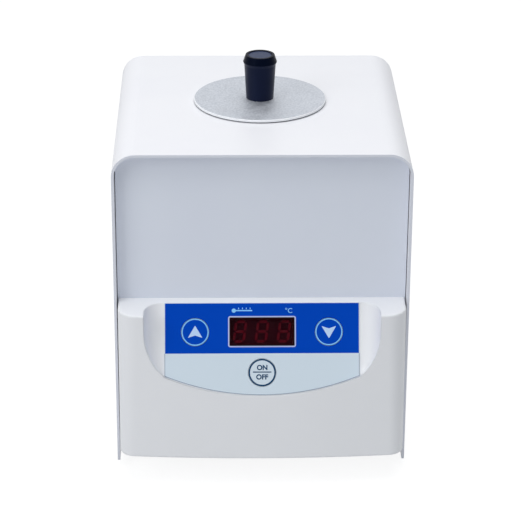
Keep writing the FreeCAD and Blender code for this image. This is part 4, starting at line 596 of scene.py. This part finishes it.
def text_shape(words, height, centre, low, bold):
    """Printed letters of that height, centred on a point."""
    curve = bpy.data.curves.new("letters", "FONT")
    curve.body = words
    curve.align_x = "CENTER"
    curve.align_y = "CENTER"
    curve.offset = bold
    holder = bpy.data.objects.new("letters", curve)
    scene.collection.objects.link(holder)
    mesh = bpy.data.meshes.new_from_object(holder.evaluated_get(bpy.context.evaluated_depsgraph_get()))
    bpy.data.objects.remove(holder)
    shape = bmesh.new()
    shape.from_mesh(mesh)
    bpy.data.meshes.remove(mesh)
    lows, highs = ([pick(v.co[i] for v in shape.verts) for i in (0, 1)] for pick in (min, max))
    scale = height / (highs[1] - lows[1])
    shift = Vector((-(lows[0] + highs[0]) / 2, -(lows[1] + highs[1]) / 2, 0.0))
    bmesh.ops.translate(shape, vec=shift, verts=shape.verts)
    bmesh.ops.scale(shape, vec=(scale, scale, 1.0), verts=shape.verts)
    bmesh.ops.translate(shape, vec=(*centre, low), verts=shape.verts)
    thicken(shape, INK)
    return shape


# Rings and arrows on the two setting keys
RING_OUT, RING_IN, START_RING_IN = 7.8, 7.15, 7.0
ARROW = [(0.0, 3.8), (4.2, -3.3), (0.0, -1.9), (-4.2, -3.3)]
ARROW_SOFT = 0.35
for node, body, turn in (("key_up", "up_key", 1.0), ("key_down", "down_key", -1.0)):
    x, y = middle_of(node)
    top = face_top(node)
    mark(body + "_ring", ring_shape((x, y), RING_OUT, RING_IN, top), RING_INK, body)
    points = [(x + turn * across, y + turn * along) for across, along in ARROW]
    mark(body + "_arrow", flat_shape(points, top, ARROW_SOFT), LIGHT_INK, body)

# Ring, bar and words on the start key
WORD_HEIGHT, ON_LIFT, OFF_DROP = 3.0, 2.9, 2.5
BAR_HALF, BAR_DEEP, BAR_LIFT = 5.3, 0.3, 0.3
x, y = middle_of("key_start")
top = face_top("key_start")
ring = ring_shape((x, y), RING_OUT, START_RING_IN, top)
mark("start_key_ring", ring, TEAL_INK, "start_key")
bar = bar_points(x - BAR_HALF, x + BAR_HALF, y + BAR_LIFT - BAR_DEEP, y + BAR_LIFT + BAR_DEEP)
mark("start_key_bar", flat_shape(bar, top), TEAL_INK, "start_key")
for words, lift in (("ON", ON_LIFT), ("OFF", -OFF_DROP)):
    letters = text_shape(words, WORD_HEIGHT, (x, y + lift), top, BOLDER)
    mark("start_key_" + words.lower(), letters, TEAL_INK, "start_key")

# White line round the window, and the dark border inside it
FRAME_WIDE, FRAME_TALL, FRAME_LINE, FRAME_SOFT = 39.0, 17.9, 0.75, 1.3
BORDER_LINE, BORDER_SOFT = 1.0, 0.6
film_top = face_top("keypad_overlay")
for name, inset, line, soft, ink in (("window_line", 0.0, FRAME_LINE, FRAME_SOFT, FRAME_INK),
                                     ("window_border", FRAME_LINE, BORDER_LINE, BORDER_SOFT, BORDER_INK)):
    shape = window_ring(FRAME_WIDE / 2 - inset, FRAME_TALL / 2 - inset, line, soft, film_top)
    mark(name, shape, ink)

# Thermometer sign and unit above the window
SIGN_DROP = -4.5
UNIT_PLACE, UNIT_HEIGHT = (15.4, SIGN_DROP), 3.0
mark("unit_mark", text_shape("°C", UNIT_HEIGHT, UNIT_PLACE, film_top, BOLD), RING_INK)
BULB, BULB_RADIUS, STEM_END, STEM_HALF = -16.2, 1.2, -5.6, 0.35
mark("sign_bulb", disc_shape((BULB, SIGN_DROP), BULB_RADIUS, film_top), RING_INK)
stem = bar_points(BULB + BULB_RADIUS, STEM_END, SIGN_DROP - STEM_HALF, SIGN_DROP + STEM_HALF)
mark("sign_stem", flat_shape(stem, film_top), RING_INK)
TICKS, TICK_START, TICK_PITCH, TICK_HALF, TICK_LOW, TICK_HIGH = 4, -13.4, 2.2, 0.22, 0.75, 1.7
for i in range(TICKS):
    x = TICK_START + i * TICK_PITCH
    tick = bar_points(x - TICK_HALF, x + TICK_HALF, SIGN_DROP + TICK_LOW, SIGN_DROP + TICK_HIGH)
    mark(f"sign_tick_{i + 1}", flat_shape(tick, film_top), RING_INK)

# Cut edge of the film: a fine grey line of painted shadow along its bowed foot and up its two sides
SHADOW_LINE, FILM_BOW = 0.35, 10.9
# A grey ink that stands in for the shadow at the film's cut edge
EDGE_SHADOW_INK = screen_ink("film_edge_painted_shadow", "#93A0B2")
half, foot = film_reach()
bow = half ** 2 / (2 * FILM_BOW) + FILM_BOW / 2
sweep = 2 * math.asin(half / bow)
arc = ring_shape((0.0, bow - foot), bow, bow - SHADOW_LINE, film_top, -math.pi / 2 - sweep / 2, sweep)
mark("film_foot_shadow", arc, EDGE_SHADOW_INK)
for name, left, right in (("left", -half, SHADOW_LINE - half), ("right", half - SHADOW_LINE, half)):
    line = bar_points(left, right, FILM_BOW - foot, -BLUE_DEPTH)
    mark(f"film_{name}_line", flat_shape(line, film_top), EDGE_SHADOW_INK)

# On bar and off ring on the two halves of the rocker
SIGN_INK = screen_ink("pad_print_white", "#E6E6E2")
RING_SIGN, RING_SIGN_IN, BAR_SIGN_HALF, BAR_SIGN_TALL = 1.5, 1.1, 0.22, 1.5
on_bar = flat_shape(bar_points(-BAR_SIGN_HALF, BAR_SIGN_HALF, -BAR_SIGN_TALL, BAR_SIGN_TALL), 0.0)
off_ring = ring_shape((0.0, 0.0), RING_SIGN, RING_SIGN_IN, 0.0)
for name, shape, end in (("rocker_on_bar", on_bar, 1.0), ("rocker_off_ring", off_ring, -1.0)):
    mark(name, shape, SIGN_INK, "rocker", rocker_face(end))


# Floor and surround: half the floor in metres, its tones, and the surround's colours and strength as a light
FLOOR_HALF = 6.0
PAPER, SHADE, GLOW = 0.8, 0.22, 0.88
WHITE, SKY = (1.0, 1.0, 1.0, 1.0), (0.9, 0.95, 1.0, 1.0)
SURROUND = 0.35

# Lights: the point they face, then each one's name, its place and width in metres, and its watts
AIM = Vector((0.0, 0.0, 0.1))
LIGHTS = (("over_softbox", (0.0, -0.2, 1.62), 1.2, 13.2), ("left_softbox", (-1.1, -0.9, 1.1), 0.9, 7.8))


def seen_rays(tree):
    """1 for a ray that shows the surround: straight, in a gloss or through glass."""
    path = add(tree, "ShaderNodeLightPath")
    straight = add(tree, "ShaderNodeMath", {"operation": "MAXIMUM"},
                   {0: path.outputs["Is Camera Ray"], 1: path.outputs["Is Glossy Ray"]})
    return add(tree, "ShaderNodeMath", {"operation": "MAXIMUM"},
               {0: straight.outputs[0], 1: path.outputs["Is Transmission Ray"]}).outputs[0]


def studio():
    """A white floor that keeps the object's shadow, under a white surround."""
    shape = bmesh.new()
    bmesh.ops.create_grid(shape, x_segments=1, y_segments=1, size=FLOOR_HALF)
    mesh = bpy.data.meshes.new("studio_floor")
    shape.to_mesh(mesh)
    shape.free()
    floor = bpy.data.objects.new("studio_floor", mesh)
    scene.collection.objects.link(floor)
    paper = bpy.data.materials.new("white_paper")
    paper.use_nodes = True
    tree = paper.node_tree
    tree.nodes.clear()
    seen = seen_rays(tree)
    plain = add(tree, "ShaderNodeBsdfDiffuse", {"Color": (PAPER, PAPER, PAPER, 1.0)})
    shade = add(tree, "ShaderNodeBsdfDiffuse", {"Color": (SHADE, SHADE, SHADE, 1.0)})
    glow = add(tree, "ShaderNodeEmission", {"Strength": GLOW})
    bright = add(tree, "ShaderNodeAddShader", links={0: shade.outputs[0], 1: glow.outputs[0]})
    both = add(tree, "ShaderNodeMixShader", links={0: seen, 1: plain.outputs[0], 2: bright.outputs[0]})
    add(tree, "ShaderNodeOutputMaterial", links={"Surface": both.outputs[0]})
    mesh.materials.append(paper)


def surround():
    """A white surround, dimmer as a light than where it is seen."""
    world = bpy.data.worlds.new("surround")
    scene.world = world
    world.use_nodes = True
    tree = world.node_tree
    tree.nodes.clear()
    light = add(tree, "ShaderNodeBackground", {"Color": SKY, "Strength": SURROUND})
    white = add(tree, "ShaderNodeBackground", {"Color": WHITE, "Strength": 1.0})
    both = add(tree, "ShaderNodeMixShader",
               links={0: seen_rays(tree), 1: light.outputs[0], 2: white.outputs[0]})
    add(tree, "ShaderNodeOutputWorld", links={"Surface": both.outputs[0]})


def softbox(name, place, width, watts):
    """A square soft light, turned to the part."""
    lamp = bpy.data.lights.new(name, "AREA")
    lamp.size = width
    lamp.energy = watts
    holder = bpy.data.objects.new(name, lamp)
    turn = (AIM - Vector(place)).to_track_quat("-Z", "Y")
    holder.matrix_world = Matrix.Translation(place) @ turn.to_matrix().to_4x4()
    scene.collection.objects.link(holder)


studio()
surround()
for light in LIGHTS:
    softbox(*light)
scene.view_settings.view_transform = "Standard"
